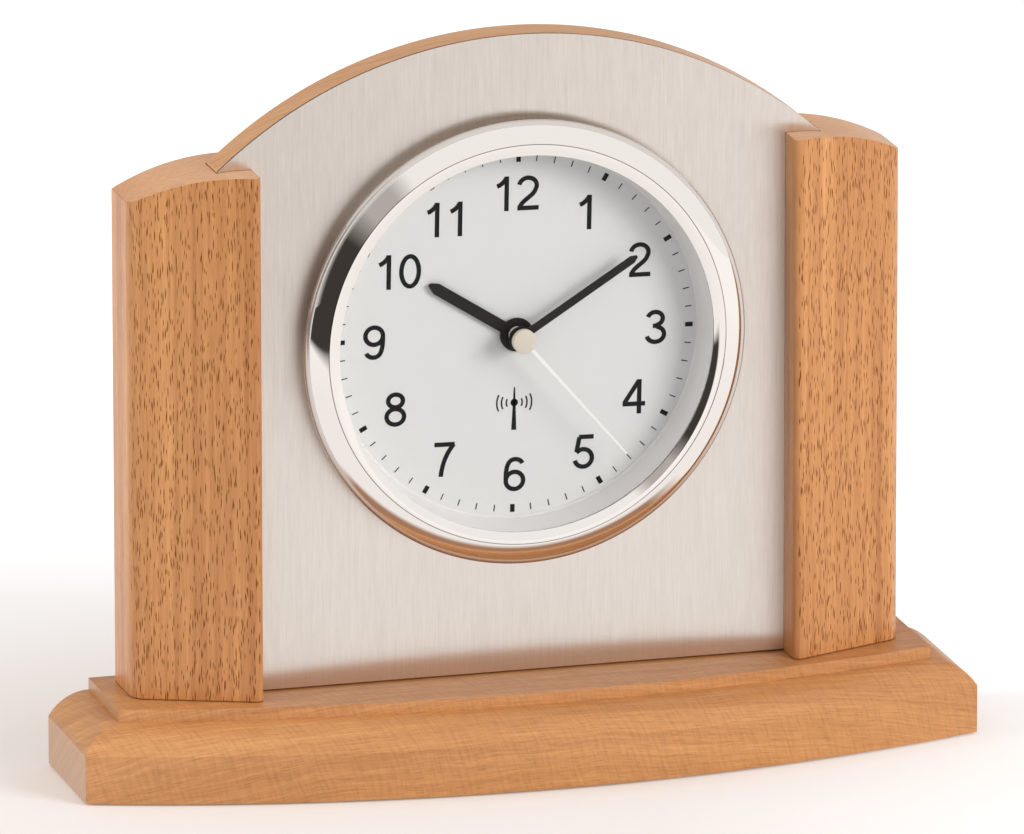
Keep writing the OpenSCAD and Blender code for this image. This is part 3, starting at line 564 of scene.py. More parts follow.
@dataclass(frozen=True)
class Beech:
    """Lacquered beech with fine fibres, tonal bands and short dark flecks.

    The patterns lie in a plane of the grain and one slanting way across it, so that every side shows them.
    On a side that faces along the slant the flecks would be drawn out, so they fade there and at the ends.
    """

    name: str
    grain: Grain
    light: Colour = (0.78, 0.368, 0.135)
    dark: Colour = (0.41, 0.148, 0.04)
    fleck: Colour = (0.15, 0.037, 0.004)
    end: Colour = (0.80, 0.43, 0.22)
    sway: float = 0.7 * MM
    sway_size: float = 28 * MM
    slant: Point = (0.78, 0.62)
    halves_apart: float = 0.4
    tones: tuple[Tone, ...] = (
        Tone(4.2 * MM, 240 * MM, 4, (0.34, 0.66), 0.46, 0.6),
        Tone(30 * MM, 400 * MM, 1, (0.35, 0.65), 0.26),
        Tone(1.3 * MM, 110 * MM, 2, (0.36, 0.64), 0.28),
    )
    fibres: Tone = Tone(0.42 * MM, 13 * MM, 3, (0.3, 0.7), 0.3, 0.7)
    long_flecks: Flecks = Flecks(0.52 * MM, 6.4 * MM, 0.5)
    short_flecks: Flecks = Flecks(0.4 * MM, 3.6 * MM, 0.34)
    fleck_amount: float = 0.95
    end_facing: Point = (0.75, 0.93)
    end_amount: float = 0.85
    # Painted light: flecks fade on faces turned sideways, so those faces read lighter, as if washed out by
    # light.
    side_facing: Point = (0.8, 0.97)
    side_amount: float = 0.8
    slant_facing: Point = (0.85, 0.94)
    figure: float = 0.0
    figure_size: Point = (6 * MM, 0.9 * MM)
    figure_lean: float = 2.4
    figure_span: Point = (0.42, 0.7)
    ray_scale: Triple = (420, 1500, 1500)
    ray_span: Point = (0.4, 0.65)
    ray_amount: float = 0.3
    foot_z: float = 0.0
    # Painted shade: a thin dark band just above the pillar's foot stands in for the shadow where it meets the
    # step.
    joint: Point = (0.45 * MM, 0.2 * MM)
    joint_amount: float = 0.8
    roughness: Point = (0.44, 0.34)
    gloss: float = 0.4
    coat: float = 0.18
    fibre_relief: float = 0.25
    fleck_relief: float = 0.8
    relief_depth: float = 0.04 * MM

    def slanting(self, s: Shader, x: Socket, y: Socket) -> Socket:
        """How far a place or a normal reaches in the slanting way."""
        return s.plus(s.times(x, self.slant[0]), s.times(y, self.slant[1]))

    def plane(self, s: Shader) -> Socket:
        """The swaying coordinates of the grain.

        Args:
            s: The material in the making.

        Returns:
            A vector whose X runs across the grain and whose Y runs along it.
        """
        vector = s.place((1 / self.sway_size,) * 3)
        cloud = s.node("TexNoise", Vector=vector, Scale=1.0, Detail=2.0).outputs["Color"]
        middle = s.node("VectorMath", operation="SUBTRACT")
        s.feed(middle.inputs[0], cloud)
        middle.inputs[1].default_value = (0.5, 0.5, 0.5)
        reach = s.node("VectorMath", operation="SCALE", Scale=self.sway * 2)
        s.feed(reach.inputs[0], middle.outputs[0])
        moved = s.node("VectorMath", operation="ADD")
        s.feed(moved.inputs[0], s.coordinates())
        s.feed(moved.inputs[1], reach.outputs[0])
        at = s.split(moved.outputs[0])
        other = at["Z"]
        if self.grain is Grain.UPRIGHT:
            apart = s.times(s.calc("SIGN", at["X"]), self.halves_apart)
            other = s.plus(s.calc("ABSOLUTE", at["X"]), apart)
        across = self.slanting(s, other, at["Y"])
        return s.node("CombineXYZ", X=across, Y=at[self.grain.value]).outputs[0]

    def calm(self, s: Shader, is_end: Socket) -> Socket:
        """Where a side shows few flecks or none.

        Args:
            s: The material in the making.
            is_end: 1 on the end grain.

        Returns:
            1 where the flecks are gone.
        """
        if self.grain is not Grain.UPRIGHT:
            return is_end
        normal = s.split(s.coordinates("Normal"))
        # Painted light: faces turned sideways lose their flecks and so read lighter.
        washed_out_side = s.times(s.size_ramp(normal["X"], *self.side_facing), self.side_amount)
        side = s.calc("SIGN", s.split(s.coordinates())["X"])
        along_slant = self.slanting(s, s.times(normal["X"], side), normal["Y"])
        return s.larger(s.larger(is_end, washed_out_side), s.size_ramp(along_slant, *self.slant_facing))

    def waves(self, s: Shader, plane: Socket) -> Socket:
        """The leaning figure of a piece with its grain across.

        Args:
            s: The material in the making.
            plane: The coordinates across and along the grain.

        Returns:
            1 in the figure's dark waves.
        """
        flat = s.split(s.scaled(plane, (1 / self.figure_size[0], 1 / self.figure_size[1], 1.0)))
        lean = s.plus(flat["Y"], s.times(flat["X"], self.figure_lean))
        leaning = s.node("CombineXYZ", X=flat["X"], Y=lean)
        return s.ramp(s.noise(leaning.outputs[0], 4, 0.6), *self.figure_span)

    def build(self) -> Look:
        """Makes the material.

        Returns:
            The material.
        """
        s = Shader(self.name)
        plane = self.plane(s)
        first, second, third = (s.times(tone.over(s, plane), tone.share) for tone in self.tones)
        tone = s.plus(s.plus(first, second), third)
        fibre = self.fibres.over(s, plane)
        is_end = s.size_ramp(s.split(s.coordinates("Normal"))[self.grain.value], *self.end_facing)
        fleck = s.larger(self.long_flecks.over(s, plane), self.short_flecks.over(s, plane))
        fleck = s.times(fleck, s.times(s.opposite(self.calm(s, is_end)), self.fleck_amount))
        colour = s.mix(tone, self.dark, self.light)
        colour = s.mix(s.times(s.opposite(fibre), self.fibres.share), colour, self.fleck)
        if self.figure:
            colour = s.mix(s.times(self.waves(s, plane), self.figure), colour, self.fleck)
        rays = s.ramp(s.noise(s.place(self.ray_scale), 2), *self.ray_span)
        end = s.mix(s.times(rays, self.ray_amount), self.end, self.dark)
        colour = s.mix(s.times(is_end, self.end_amount), colour, end)
        colour = s.mix(fleck, colour, self.fleck)
        # Painted shade: darkens a thin band just above the foot, as the shadow there would.
        if self.foot_z:
            foot_shade_top, foot_shade_bottom = (self.foot_z + height for height in self.joint)
            joint = s.ramp(s.split(s.coordinates())["Z"], foot_shade_top, foot_shade_bottom)
            colour = s.mix(s.times(joint, self.joint_amount), colour, self.fleck)
        s.set(
            Base_Color=colour,
            Roughness=s.between(fibre, *self.roughness),
            Specular_IOR_Level=s.between(fleck, self.gloss, 0.0),
            Coat_Weight=s.between(fleck, self.coat, 0.0),
            Coat_Roughness=0.2,
        )
        height = s.calc("SUBTRACT", s.times(fibre, self.fibre_relief), s.times(fleck, self.fleck_relief))
        s.relief(height, self.relief_depth)
        return s.material


@dataclass(frozen=True)
class BrushedSheet:
    """Aluminium brushed up and down, with its cut edges painted dark as the shadow gap beside them."""

    name: str = "brushed_sheet"
    light: Colour = (0.86, 0.785, 0.725)
    dark: Colour = (0.72, 0.65, 0.595)
    # Painted shadow: the colour of the cut edges, dark as the shadow gap between sheet and board.
    cut: Colour = (0.07, 0.045, 0.035)
    hair_scale: Triple = (4400, 10, 130)
    stroke_scale: Triple = (1100, 10, 45)
    broad_scale: Triple = (60, 10, 8)
    streak_span: Point = (0.32, 0.68)
    streak_share: float = 0.85
    cut_facing: Point = (0.5, 0.3)
    roughness: Point = (0.34, 0.27)
    cut_roughness: float = 0.6

    def build(self) -> Look:
        """Makes the material.

        Returns:
            The material.
        """
        s = Shader(self.name)
        hair = s.noise(s.place(self.hair_scale), 3, 0.7)
        stroke = s.noise(s.place(self.stroke_scale), 4, 0.8)
        broad = s.noise(s.place(self.broad_scale), 1)
        streaks = s.ramp(s.plus(s.times(hair, 0.5), s.times(stroke, 0.5)), *self.streak_span)
        tone = s.plus(s.times(streaks, self.streak_share), s.times(broad, 1 - self.streak_share))
        # Painted shadow: faces turned away from the front take the dark colour and lose their metal.
        is_painted_gap_edge = s.size_ramp(s.split(s.coordinates("Normal"))["Y"], *self.cut_facing)
        s.set(
            Base_Color=s.mix(is_painted_gap_edge, s.mix(tone, self.dark, self.light), self.cut),
            Metallic=s.opposite(is_painted_gap_edge),
            Roughness=s.larger(s.between(streaks, *self.roughness), s.times(is_painted_gap_edge, self.cut_roughness)),
            Anisotropic=0.9,
            Tangent=s.node("CombineXYZ", X=1.0).outputs[0],
        )
        s.relief(streaks, 0.01 * MM)
        return s.material


@dataclass(frozen=True)
class Metal:
    """Bare metal with faint marks of its making."""

    name: str
    colour: Colour
    roughness: float = 0.3
    marks: float = 0.08
    scale: float = 1500
    worn: float = 0.85

    def build(self) -> Look:
        """Makes the material.

        Returns:
            The material.
        """
        s = Shader(self.name)
        cloud = s.cloud(self.scale, 3)
        s.set(
            Base_Color=s.mix(cloud, tuple(c * self.worn for c in self.colour), self.colour),
            Metallic=1.0,
            Roughness=s.between(cloud, self.roughness, self.roughness + self.marks),
        )
        return s.material


@dataclass(frozen=True)
class Chrome:
    """Polished chrome with painted shade on its walls, a painted grey on the outer bead and a painted warm
    reflection of the wooden base on the bead's lower part.
    """

    centre_z: float
    name: str = "polished_chrome"
    colour: Colour = (0.86, 0.81, 0.775)
    # Painted shade and reflections: dark walls, darkest at the crease and inside, a grey bead and its warm
    # reflection of the wooden base.
    wall: Colour = (0.36, 0.33, 0.30)
    outer_wall: Colour = (0.80, 0.75, 0.71)
    outer_from: Point = (50 * MM, 50.5 * MM)
    wall_facing: Point = (0.74, 0.62)
    bead: Colour = (0.62, 0.57, 0.53)
    low_bead: Colour = (0.44, 0.28, 0.19)
    low_from: Point = (-18 * MM, -42 * MM)
    bead_r: float = 52.95 * MM
    bead_edge: float = 0.05 * MM
    bead_metal: float = 0.6
    roughness: Point = (0.03, 0.05)

    def build(self) -> Look:
        """Makes the material.

        Returns:
            The material.
        """
        s = Shader(self.name)
        # Painted shade: walls that face away from the front get darker colours, darkest inside the crease.
        is_shaded_wall = s.size_ramp(s.split(s.coordinates("Normal"))["Y"], *self.wall_facing)
        at = s.split(s.coordinates())
        rise = s.calc("SUBTRACT", at["Z"], self.centre_z)
        radius = s.calc("SQRT", s.plus(s.times(at["X"], at["X"]), s.times(rise, rise)))
        is_bead = s.ramp(radius, self.bead_r - self.bead_edge, self.bead_r + self.bead_edge)
        # Painted reflection: the bead turns grey, and warm towards its lower part as if mirroring the wooden
        # base.
        bead = s.mix(s.ramp(rise, *self.low_from), self.bead, self.low_bead)
        wall = s.mix(s.ramp(radius, *self.outer_from), self.wall, self.outer_wall)
        s.set(
            Base_Color=s.mix(is_bead, s.mix(is_shaded_wall, self.colour, wall), bead),
            Metallic=s.between(is_bead, 1.0, self.bead_metal),
            Roughness=s.between(s.cloud(60, 3), *self.roughness),
        )
        return s.material


@dataclass(frozen=True)
class Moulded:
    """Plastic, paint or felt with a fine surface texture."""

    name: str
    colour: Colour
    roughness: float = 0.5
    scale: float = 2500
    depth: float = 0.01 * MM
    shade: float = 0.9
    sheen: float = 0.0
    gloss: float = 0.5
    span: Point = (0.35, 0.65)
    spread: float = 0.05

    def build(self) -> Look:
        """Makes the material.

        Returns:
            The material.
        """
        s = Shader(self.name)
        cloud = s.cloud(self.scale, 4, 0.6)
        dull = tuple(c * self.shade for c in self.colour)
        s.set(
            Base_Color=s.mix(s.ramp(cloud, *self.span), dull, self.colour),
            Roughness=s.between(cloud, self.roughness - self.spread, self.roughness + self.spread),
            Sheen_Weight=self.sheen,
            Specular_IOR_Level=self.gloss,
        )
        s.relief(cloud, self.depth)
        return s.material


@dataclass(frozen=True)
class ClearGlass:
    """Flat glass that shows what lies behind it, with a faint reflection."""

    name: str = "clear_glass"
    tint: Colour = (0.02, 0.02, 0.02)
    opacity: float = 0.05
    bending: float = 1.16

    def build(self) -> Look:
        """Makes the material.

        Returns:
            The material.
        """
        s = Shader(self.name)
        s.set(Base_Color=self.tint, Roughness=0.02, IOR=self.bending, Alpha=self.opacity)
        s.set(Specular_IOR_Level=0.5)
        s.material.surface_render_method = "BLENDED"
        return s.material


@dataclass(frozen=True)
class Winding:
    """Enamelled copper wire, turn beside turn across the piece."""

    name: str = "copper_winding"
    colour: Colour = (0.62, 0.26, 0.1)
    gap_shade: float = 0.4
    pitch: float = 0.16 * MM
    wave_period: float = 6.3

    def build(self) -> Look:
        """Makes the material.

        Returns:
            The material.
        """
        s = Shader(self.name)
        vector = s.place((1 / self.pitch / self.wave_period,) * 3)
        turns = s.node("TexWave", Vector=vector, bands_direction="X", Scale=1.0).outputs["Fac"]
        s.set(
            Base_Color=s.mix(turns, tuple(c * self.gap_shade for c in self.colour), self.colour),
            Metallic=0.9,
            Roughness=s.between(turns, 0.5, 0.28),
        )
        s.relief(turns, self.pitch / 3)
        return s.material


@dataclass(frozen=True)
class BatteryJacket:
    """A plain printed jacket: a dark sleeve with a coppery end, no lettering."""

    split: float
    name: str = "battery_jacket"
    sleeve: Colour = (0.035, 0.07, 0.11)
    end: Colour = (0.6, 0.32, 0.13)
    scuff: Colour = (0.4, 0.4, 0.4)
    scuff_amount: float = 0.12

    def build(self) -> Look:
        """Makes the material.

        Returns:
            The material.
        """
        s = Shader(self.name)
        is_end = s.calc("GREATER_THAN", s.split(s.coordinates())["X"], self.split)
        scuffs = s.cloud(900, 4, 0.7)
        colour = s.mix(is_end, self.sleeve, self.end)
        s.set(
            Base_Color=s.mix(s.between(scuffs, 0.0, self.scuff_amount), colour, self.scuff),
            Metallic=0.35,
            Roughness=s.between(scuffs, 0.26, 0.38),
            Coat_Weight=0.3,
        )
        return s.material


class Finishes:
    """Every material of the clock, made once."""

    def __init__(self) -> None:
        """Builds them all."""
        dial_low, dial_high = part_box("dial")
        pillar_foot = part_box("right_pillar")[0].z
        self.upright_beech = Beech("upright_beech", Grain.UPRIGHT, foot_z=pillar_foot).build()
        self.base_beech = Beech(
            "base_beech",
            Grain.ACROSS,
            light=(0.76, 0.365, 0.138),
            dark=(0.54, 0.23, 0.078),
            end=(0.42, 0.215, 0.10),
            sway=2 * MM,
            sway_size=30 * MM,
            fleck_amount=0.16,
            figure=0.2,
        ).build()
        self.board_beech = Beech(
            "board_beech",
            Grain.ACROSS,
            light=(0.76, 0.405, 0.19),
            dark=(0.64, 0.315, 0.13),
            fleck_amount=0.12,
        ).build()
        self.sheet = BrushedSheet().build()
        self.chrome = Chrome((dial_low.z + dial_high.z) / 2).build()
        self.glass = ClearGlass().build()
        self.dial = Moulded("dial_white", (0.79, 0.78, 0.757), 0.6, 6000, 0.002 * MM, 0.985).build()
        self.ring = Moulded("ring_grey", (0.86, 0.84, 0.82), 0.45, 4000, 0.003 * MM, 0.97).build()
        self.print = Moulded("printed_black", (0.01, 0.01, 0.011), 0.5, 5000, 0.001 * MM, gloss=0.2).build()
        self.black = Moulded("black_lacquer", (0.02, 0.017, 0.015), 0.34, 3000, 0.002 * MM, gloss=0.2).build()
        self.pale = Moulded("pale_lacquer", (0.96, 0.95, 0.91), 0.4, 3000, 0.001 * MM, 0.98).build()
        self.champagne = Moulded("champagne_cap", (0.76, 0.665, 0.55), 0.34, 3000, 0.002 * MM, 0.95).build()
        self.steel = Metal("bright_steel", (0.60, 0.61, 0.63), 0.28, 0.12).build()
        self.brass = Metal("plated_brass", (0.78, 0.60, 0.28), 0.3, 0.1).build()
        self.magnet = Metal("ground_magnet", (0.30, 0.31, 0.33), 0.4, 0.1).build()
        self.ferrite = Moulded("ferrite", (0.02, 0.02, 0.022), 0.7, 1800, 0.03 * MM).build()
        self.dark_plastic = Moulded("dark_plastic", (0.035, 0.036, 0.04), 0.5, 2200, 0.02 * MM).build()
        self.light_plastic = Moulded("light_plastic", (0.6, 0.6, 0.59), 0.5, 2200, 0.01 * MM).build()
        self.nylon = Moulded("nylon", (0.8, 0.77, 0.68), 0.42, 1500, 0.005 * MM, 0.95).build()
        self.board = Moulded("green_board", (0.03, 0.16, 0.07), 0.35, 900, 0.01 * MM).build()
        self.chip = Moulded("chip_black", (0.02, 0.02, 0.02), 0.55, 3000).build()
        self.winding = Winding().build()
        self.felt = Moulded("felt", (0.10, 0.065, 0.045), 0.95, 1600, 0.15 * MM, 0.6, 0.4).build()


# The case


@dataclass
class Base:
    """The moulded beech base with its bowed front and its step."""

    finish: Finishes
    bow: float = 18.4 * MM
    edge_h: float = 11.6 * MM
    moulding_h: float = 5.8 * MM
    end_moulding: float = 9.9 * MM
    front_moulding: float = 10.8 * MM
    step_bow: float = 13.2 * MM
    step_front_set: float = 11.8 * MM
    eased_edge: float = 0.35 * MM
    back_inset: float = 0.01 * MM
    moulding_steps: int = 14
    bow_steps: int = 72

    def outline(self, half: float, radius: float, front_y: float, back_y: float, z: float) -> list[Vector]:
        """The base's outline at one height.

        Args:
            half: Half of the width.
            radius: Radius of the bowed front.
            front_y: Place of the bow's foremost point.
            back_y: Place of the back.
            z: Height.

        Returns:
            The outline's points in order.
        """
        reach = math.degrees(math.asin(half / radius))
        bowed = arc((0, front_y + radius), radius, 270 - reach, 270 + reach, self.bow_steps)
        return [Vector((x, y, z)) for x, y in [(half, back_y), (-half, back_y)] + bowed]

    def build(self) -> None:
        """Makes the slab with its moulding and the step on it."""
        low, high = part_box("base")
        half, back_y, front_y = high.x, high.y, low.y
        radius = bow_radius(half, self.bow)
        bm = bmesh.new()
        rings = [self.outline(half, radius, front_y, back_y, low.z)]
        rings.append(self.outline(half, radius, front_y, back_y, low.z + self.edge_h))
        curve_r = bow_radius(self.front_moulding, self.moulding_h)
        start = math.asin(self.front_moulding / curve_r)
        for i in range(1, self.moulding_steps + 1):
            angle = start * (1 - i / self.moulding_steps)
            share = 1 - curve_r * math.sin(angle) / self.front_moulding
            rise = curve_r * math.cos(angle) - curve_r * math.cos(start)
            front_in = share * self.front_moulding
            end_in = share * self.end_moulding
            z = low.z + self.edge_h + rise
            rings.append(self.outline(half - end_in, radius - front_in, front_y + front_in, back_y, z))
        skin(bm, [ring(bm, r) for r in rings])
        step = bmesh.new()
        step_half = half - self.end_moulding
        step_r = bow_radius(step_half, self.step_bow)
        step_y = front_y + self.step_front_set
        foot_z = low.z + self.edge_h
        step_back_y = back_y - self.back_inset
        levels = [self.outline(step_half, step_r, step_y, step_back_y, z) for z in (foot_z, high.z)]
        skin(step, [ring(step, r) for r in levels])
        look = self.finish.base_beech
        slab = Piece("moulded_base", "beech", look, ("base",), sharp=24, ease=self.eased_edge)
        slab.build(merge([bm, step]))


@dataclass
class Pillars:
    """The two beech pillars with slanted fronts, rounded corners and curved tops."""

    finish: Finishes
    slope: float = 21.6
    side_d: float = 16.3 * MM
    outer_r: float = 5 * MM
    inner_r: float = 1.6 * MM
    top_r: float = 55 * MM
    peak_set: float = 2.7 * MM
    groove_d: float = 8.7 * MM
    play: float = 0.1 * MM
    eased_edge: float = 0.3 * MM
    corner_steps: int = 9
    top_steps: int = 18

    def plan(self, low: Vector, high: Vector) -> list[Point]:
        """The right pillar's outline seen from above, with the groove for the board.

        Args:
            low: The lowest corner of its box.
            high: The highest corner of its box.

        Returns:
            The outline's points in order.
        """
        sin, cos = math.sin(math.radians(self.slope)), math.cos(math.radians(self.slope))
        corner_y = high.y - self.side_d
        width = high.x - low.x
        outer = (high.x - self.outer_r, corner_y + self.outer_r * (1 - sin) / cos)
        inner = (low.x + self.inner_r, corner_y + (self.inner_r - (width - self.inner_r) * sin) / cos)
        groove_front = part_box("front_sheet")[0].y - self.play
        groove_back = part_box("arch_board")[1].y + self.play
        groove_x = low.x + self.groove_d
        points = [(low.x, high.y), (high.x, high.y)]
        points += arc(outer, self.outer_r, 0, self.slope - 90, self.corner_steps)
        points += arc(inner, self.inner_r, self.slope - 90, -180, self.corner_steps)
        points += [(low.x, groove_front), (groove_x, groove_front), (groove_x, groove_back)]
        return points + [(low.x, groove_back)]

    def build(self) -> None:
        """Makes both pillars."""
        low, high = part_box("right_pillar")
        peak_x = low.x + self.peak_set
        for name, mirrored in (("right_pillar", False), ("left_pillar", True)):
            bm = bmesh.new()
            bmesh.ops.edgeloop_fill(bm, edges=ring(bm, level(self.plan(low, high), low.z)))
            thicken(bm, Vector((0, 0, high.z - low.z)))
            for i in range(1, self.top_steps):
                x = low.x + (high.x - low.x) * i / self.top_steps
                whole = bm.verts[:] + bm.edges[:] + bm.faces[:]
                cut = {"plane_co": (x, 0, 0), "plane_no": (1, 0, 0)}
                bmesh.ops.bisect_plane(bm, geom=whole, dist=WELD, **cut)
            for vert in bm.verts:
                if vert.co.z > high.z - MM:
                    across = vert.co.x - peak_x
                    vert.co.z = high.z - self.top_r + math.sqrt(self.top_r**2 - across**2)
            if mirrored:
                bmesh.ops.scale(bm, vec=(-1, 1, 1), verts=bm.verts)
            look = self.finish.upright_beech
            Piece("beech_" + name, "beech", look, (name,), sharp=24, ease=self.eased_edge).build(bm)


@dataclass
class Panel:
    """The arched board and the brushed sheet on its front."""

    finish: Finishes
    arch_r: float = 110 * MM
    hole_r: float = 49.3 * MM
    board_ease: float = 0.4 * MM
    sheet_ease: float = 0.12 * MM
    arch_steps: int = 120
    hole_steps: int = 144

    def loops(self, node: str, centre_z: float) -> tuple[list[list[Vector]], float]:
        """The outline and the hole of one layer.

        Args:
            node: The layer's node.
            centre_z: Height of the dial's centre.

        Returns:
            The two loops at the layer's front, and its thickness.
        """
        low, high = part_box(node)
        arch_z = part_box("arch_board")[1].z - self.arch_r
        reach = math.degrees(math.acos(high.x / self.arch_r))
        outer = arc((0, arch_z), self.arch_r, reach, 180 - reach, self.arch_steps)
        outer += [(low.x, low.z), (high.x, low.z)]
        hole = circle(self.hole_r, self.hole_steps, (0, centre_z))
        loops = [[Vector((x, low.y, z)) for x, z in loop] for loop in (outer, hole)]
        return loops, high.y - low.y

    def build(self, centre_z: float) -> None:
        """Makes board and sheet.

        Args:
            centre_z: Height of the dial's centre.
        """
        for node, name, slot, look, ease in (
            ("arch_board", "arched_board", "pale_beech", self.finish.board_beech, self.board_ease),
            ("front_sheet", "brushed_front", "brushed_sheet", self.finish.sheet, self.sheet_ease),
        ):
            loops, thickness = self.loops(node, centre_z)
            bm = sheet_with_holes(loops, Vector((0, thickness, 0)))
            Piece(name, slot, look, (node,), sharp=24, ease=ease).build(bm)


# The clock insert


@dataclass
class Insert:
    """Bezel, glass and dial ring, turned round the hands' axis."""

    finish: Finishes
    centre_z: float
    face_y: float
    rim_ring_r: float = 53.15 * MM
    rim_r: float = 1 * MM
    rim_stand: float = 4.25 * MM
    rim_lap: float = 0.18 * MM
    band_w: float = 4.45 * MM
    band_r: float = 12 * MM
    band_slope: float = 12
    crease_stand: float = 7.1 * MM
    crease_cut: float = 0.12 * MM
    lip_w: float = 2.8 * MM
    lip_drop: float = 0.7 * MM
    lip_t: float = 0.3 * MM
    sleeve_in_r: float = 47.7 * MM
    foot_in_r: float = 51.3 * MM
    foot_r: float = 52.4 * MM
    flange_t: float = 1.1 * MM
    ground_edge: float = 0.3 * MM
    dial_show_r: float = 44.6 * MM
    dial_drop: float = 4.1 * MM
    ring_under_lip: float = 0.3 * MM
    ring_foot: tuple[Point, ...] = (
        (0.35 * MM, 0.9 * MM), (0.12 * MM, 0.55 * MM), (0.0, 0.4 * MM), (0.0, 0.0),
    )
    steps: int = 288
    round_steps: int = 28
    lip_steps: int = 14

    @property
    def origin(self) -> Vector:
        """The hands' axis, level with the front of the sheet."""
        return Vector((0, self.face_y, self.centre_z))

    def build(self) -> None:
        """Makes the turned pieces."""
        self.build_bezel()
        self.build_glass()
        self.build_ring()

    @property
    def crease_r(self) -> float:
        """Radius of the crease between band and lip."""
        return self.rim_ring_r - self.band_w

    def band(self) -> list[Point]:
        """The section from under the rim, over rim and band, up to the crease.

        Returns:
            Points of radius and height.
        """
        slope = math.radians(self.band_slope)
        centre_r = self.crease_r - self.band_r * math.sin(slope)
        centre_h = self.crease_stand - self.band_r * math.cos(slope)
        meet = math.degrees(math.acos((self.rim_ring_r - self.rim_lap - centre_r) / self.band_r))
        rim = arc((self.rim_ring_r, self.rim_stand), self.rim_r, -140, 100, self.round_steps)
        band = arc((centre_r, centre_h), self.band_r, meet, 90 - self.band_slope, self.round_steps)
        cut = self.crease_cut
        top = self.crease_stand - cut * math.tan(slope)
        return rim + band[:-1] + [(self.crease_r + cut, top), (self.crease_r, top - cut)]

    def lip(self) -> list[Point]:
        """The section of the lip, from the crease to its inner edge's foot.

        Returns:
            Points of radius and height.
        """
        radius = bow_radius(self.lip_w, self.lip_drop)
        end = 90 + math.degrees(math.asin(self.lip_w / radius))
        curve = arc((self.crease_r, self.crease_stand - radius), radius, 90, end, self.lip_steps)
        start = (self.crease_r - self.crease_cut, self.crease_stand)
        return [start] + curve[1:] + [(self.crease_r - self.lip_w, self.under_lip)]

    @property
    def under_lip(self) -> float:
        """Height of the lip's underside."""
        return self.crease_stand - self.lip_drop - self.lip_t

    def build_bezel(self) -> None:
        """The bezel: foot, thin rim, sloping band, crease and lip."""
        inside = [(self.sleeve_in_r, self.under_lip), (self.sleeve_in_r, self.flange_t)]
        foot = [(self.foot_in_r, self.flange_t), (self.foot_in_r, 0.0), (self.foot_r, 0.0)]
        bm = turned(self.band() + self.lip() + inside + foot, self.steps)
        bm = at_place(bm, self.origin, Turn.FORWARD)
        Piece("polished_bezel", "chrome", self.finish.chrome, ("bezel",), sharp=9).build(bm)

    def build_glass(self) -> None:
        """The flat glass with ground edges."""
        low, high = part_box("glass")
        radius, ground = high.x, self.ground_edge
        front, back = self.face_y - low.y, self.face_y - high.y
        profile = [(0, back), (radius - ground, back), (radius, back + ground)]
        profile += [(radius, front - ground), (radius - ground, front), (0, front)]
        bm = at_place(turned(profile, self.steps, closed=False), self.origin, Turn.FORWARD)
        Piece("flat_glass", "clear_glass", self.finish.glass, ("glass",), sharp=20).build(bm)

    def build_ring(self) -> None:
        """The pale ring that slopes from the dial to the glass."""
        low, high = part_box("dial_ring")
        outer, top = high.x, self.face_y - low.y
        inner_top = self.crease_r - self.lip_w + self.ring_under_lip
        profile = [(outer, -self.dial_drop), (outer, top), (inner_top, top)]
        profile += [(self.dial_show_r + out, up - self.dial_drop) for out, up in self.ring_foot]
        bm = at_place(turned(profile, self.steps), self.origin, Turn.FORWARD)
        Piece("sloping_ring", "light_plastic", self.finish.ring, ("dial_ring",), sharp=20).build(bm)


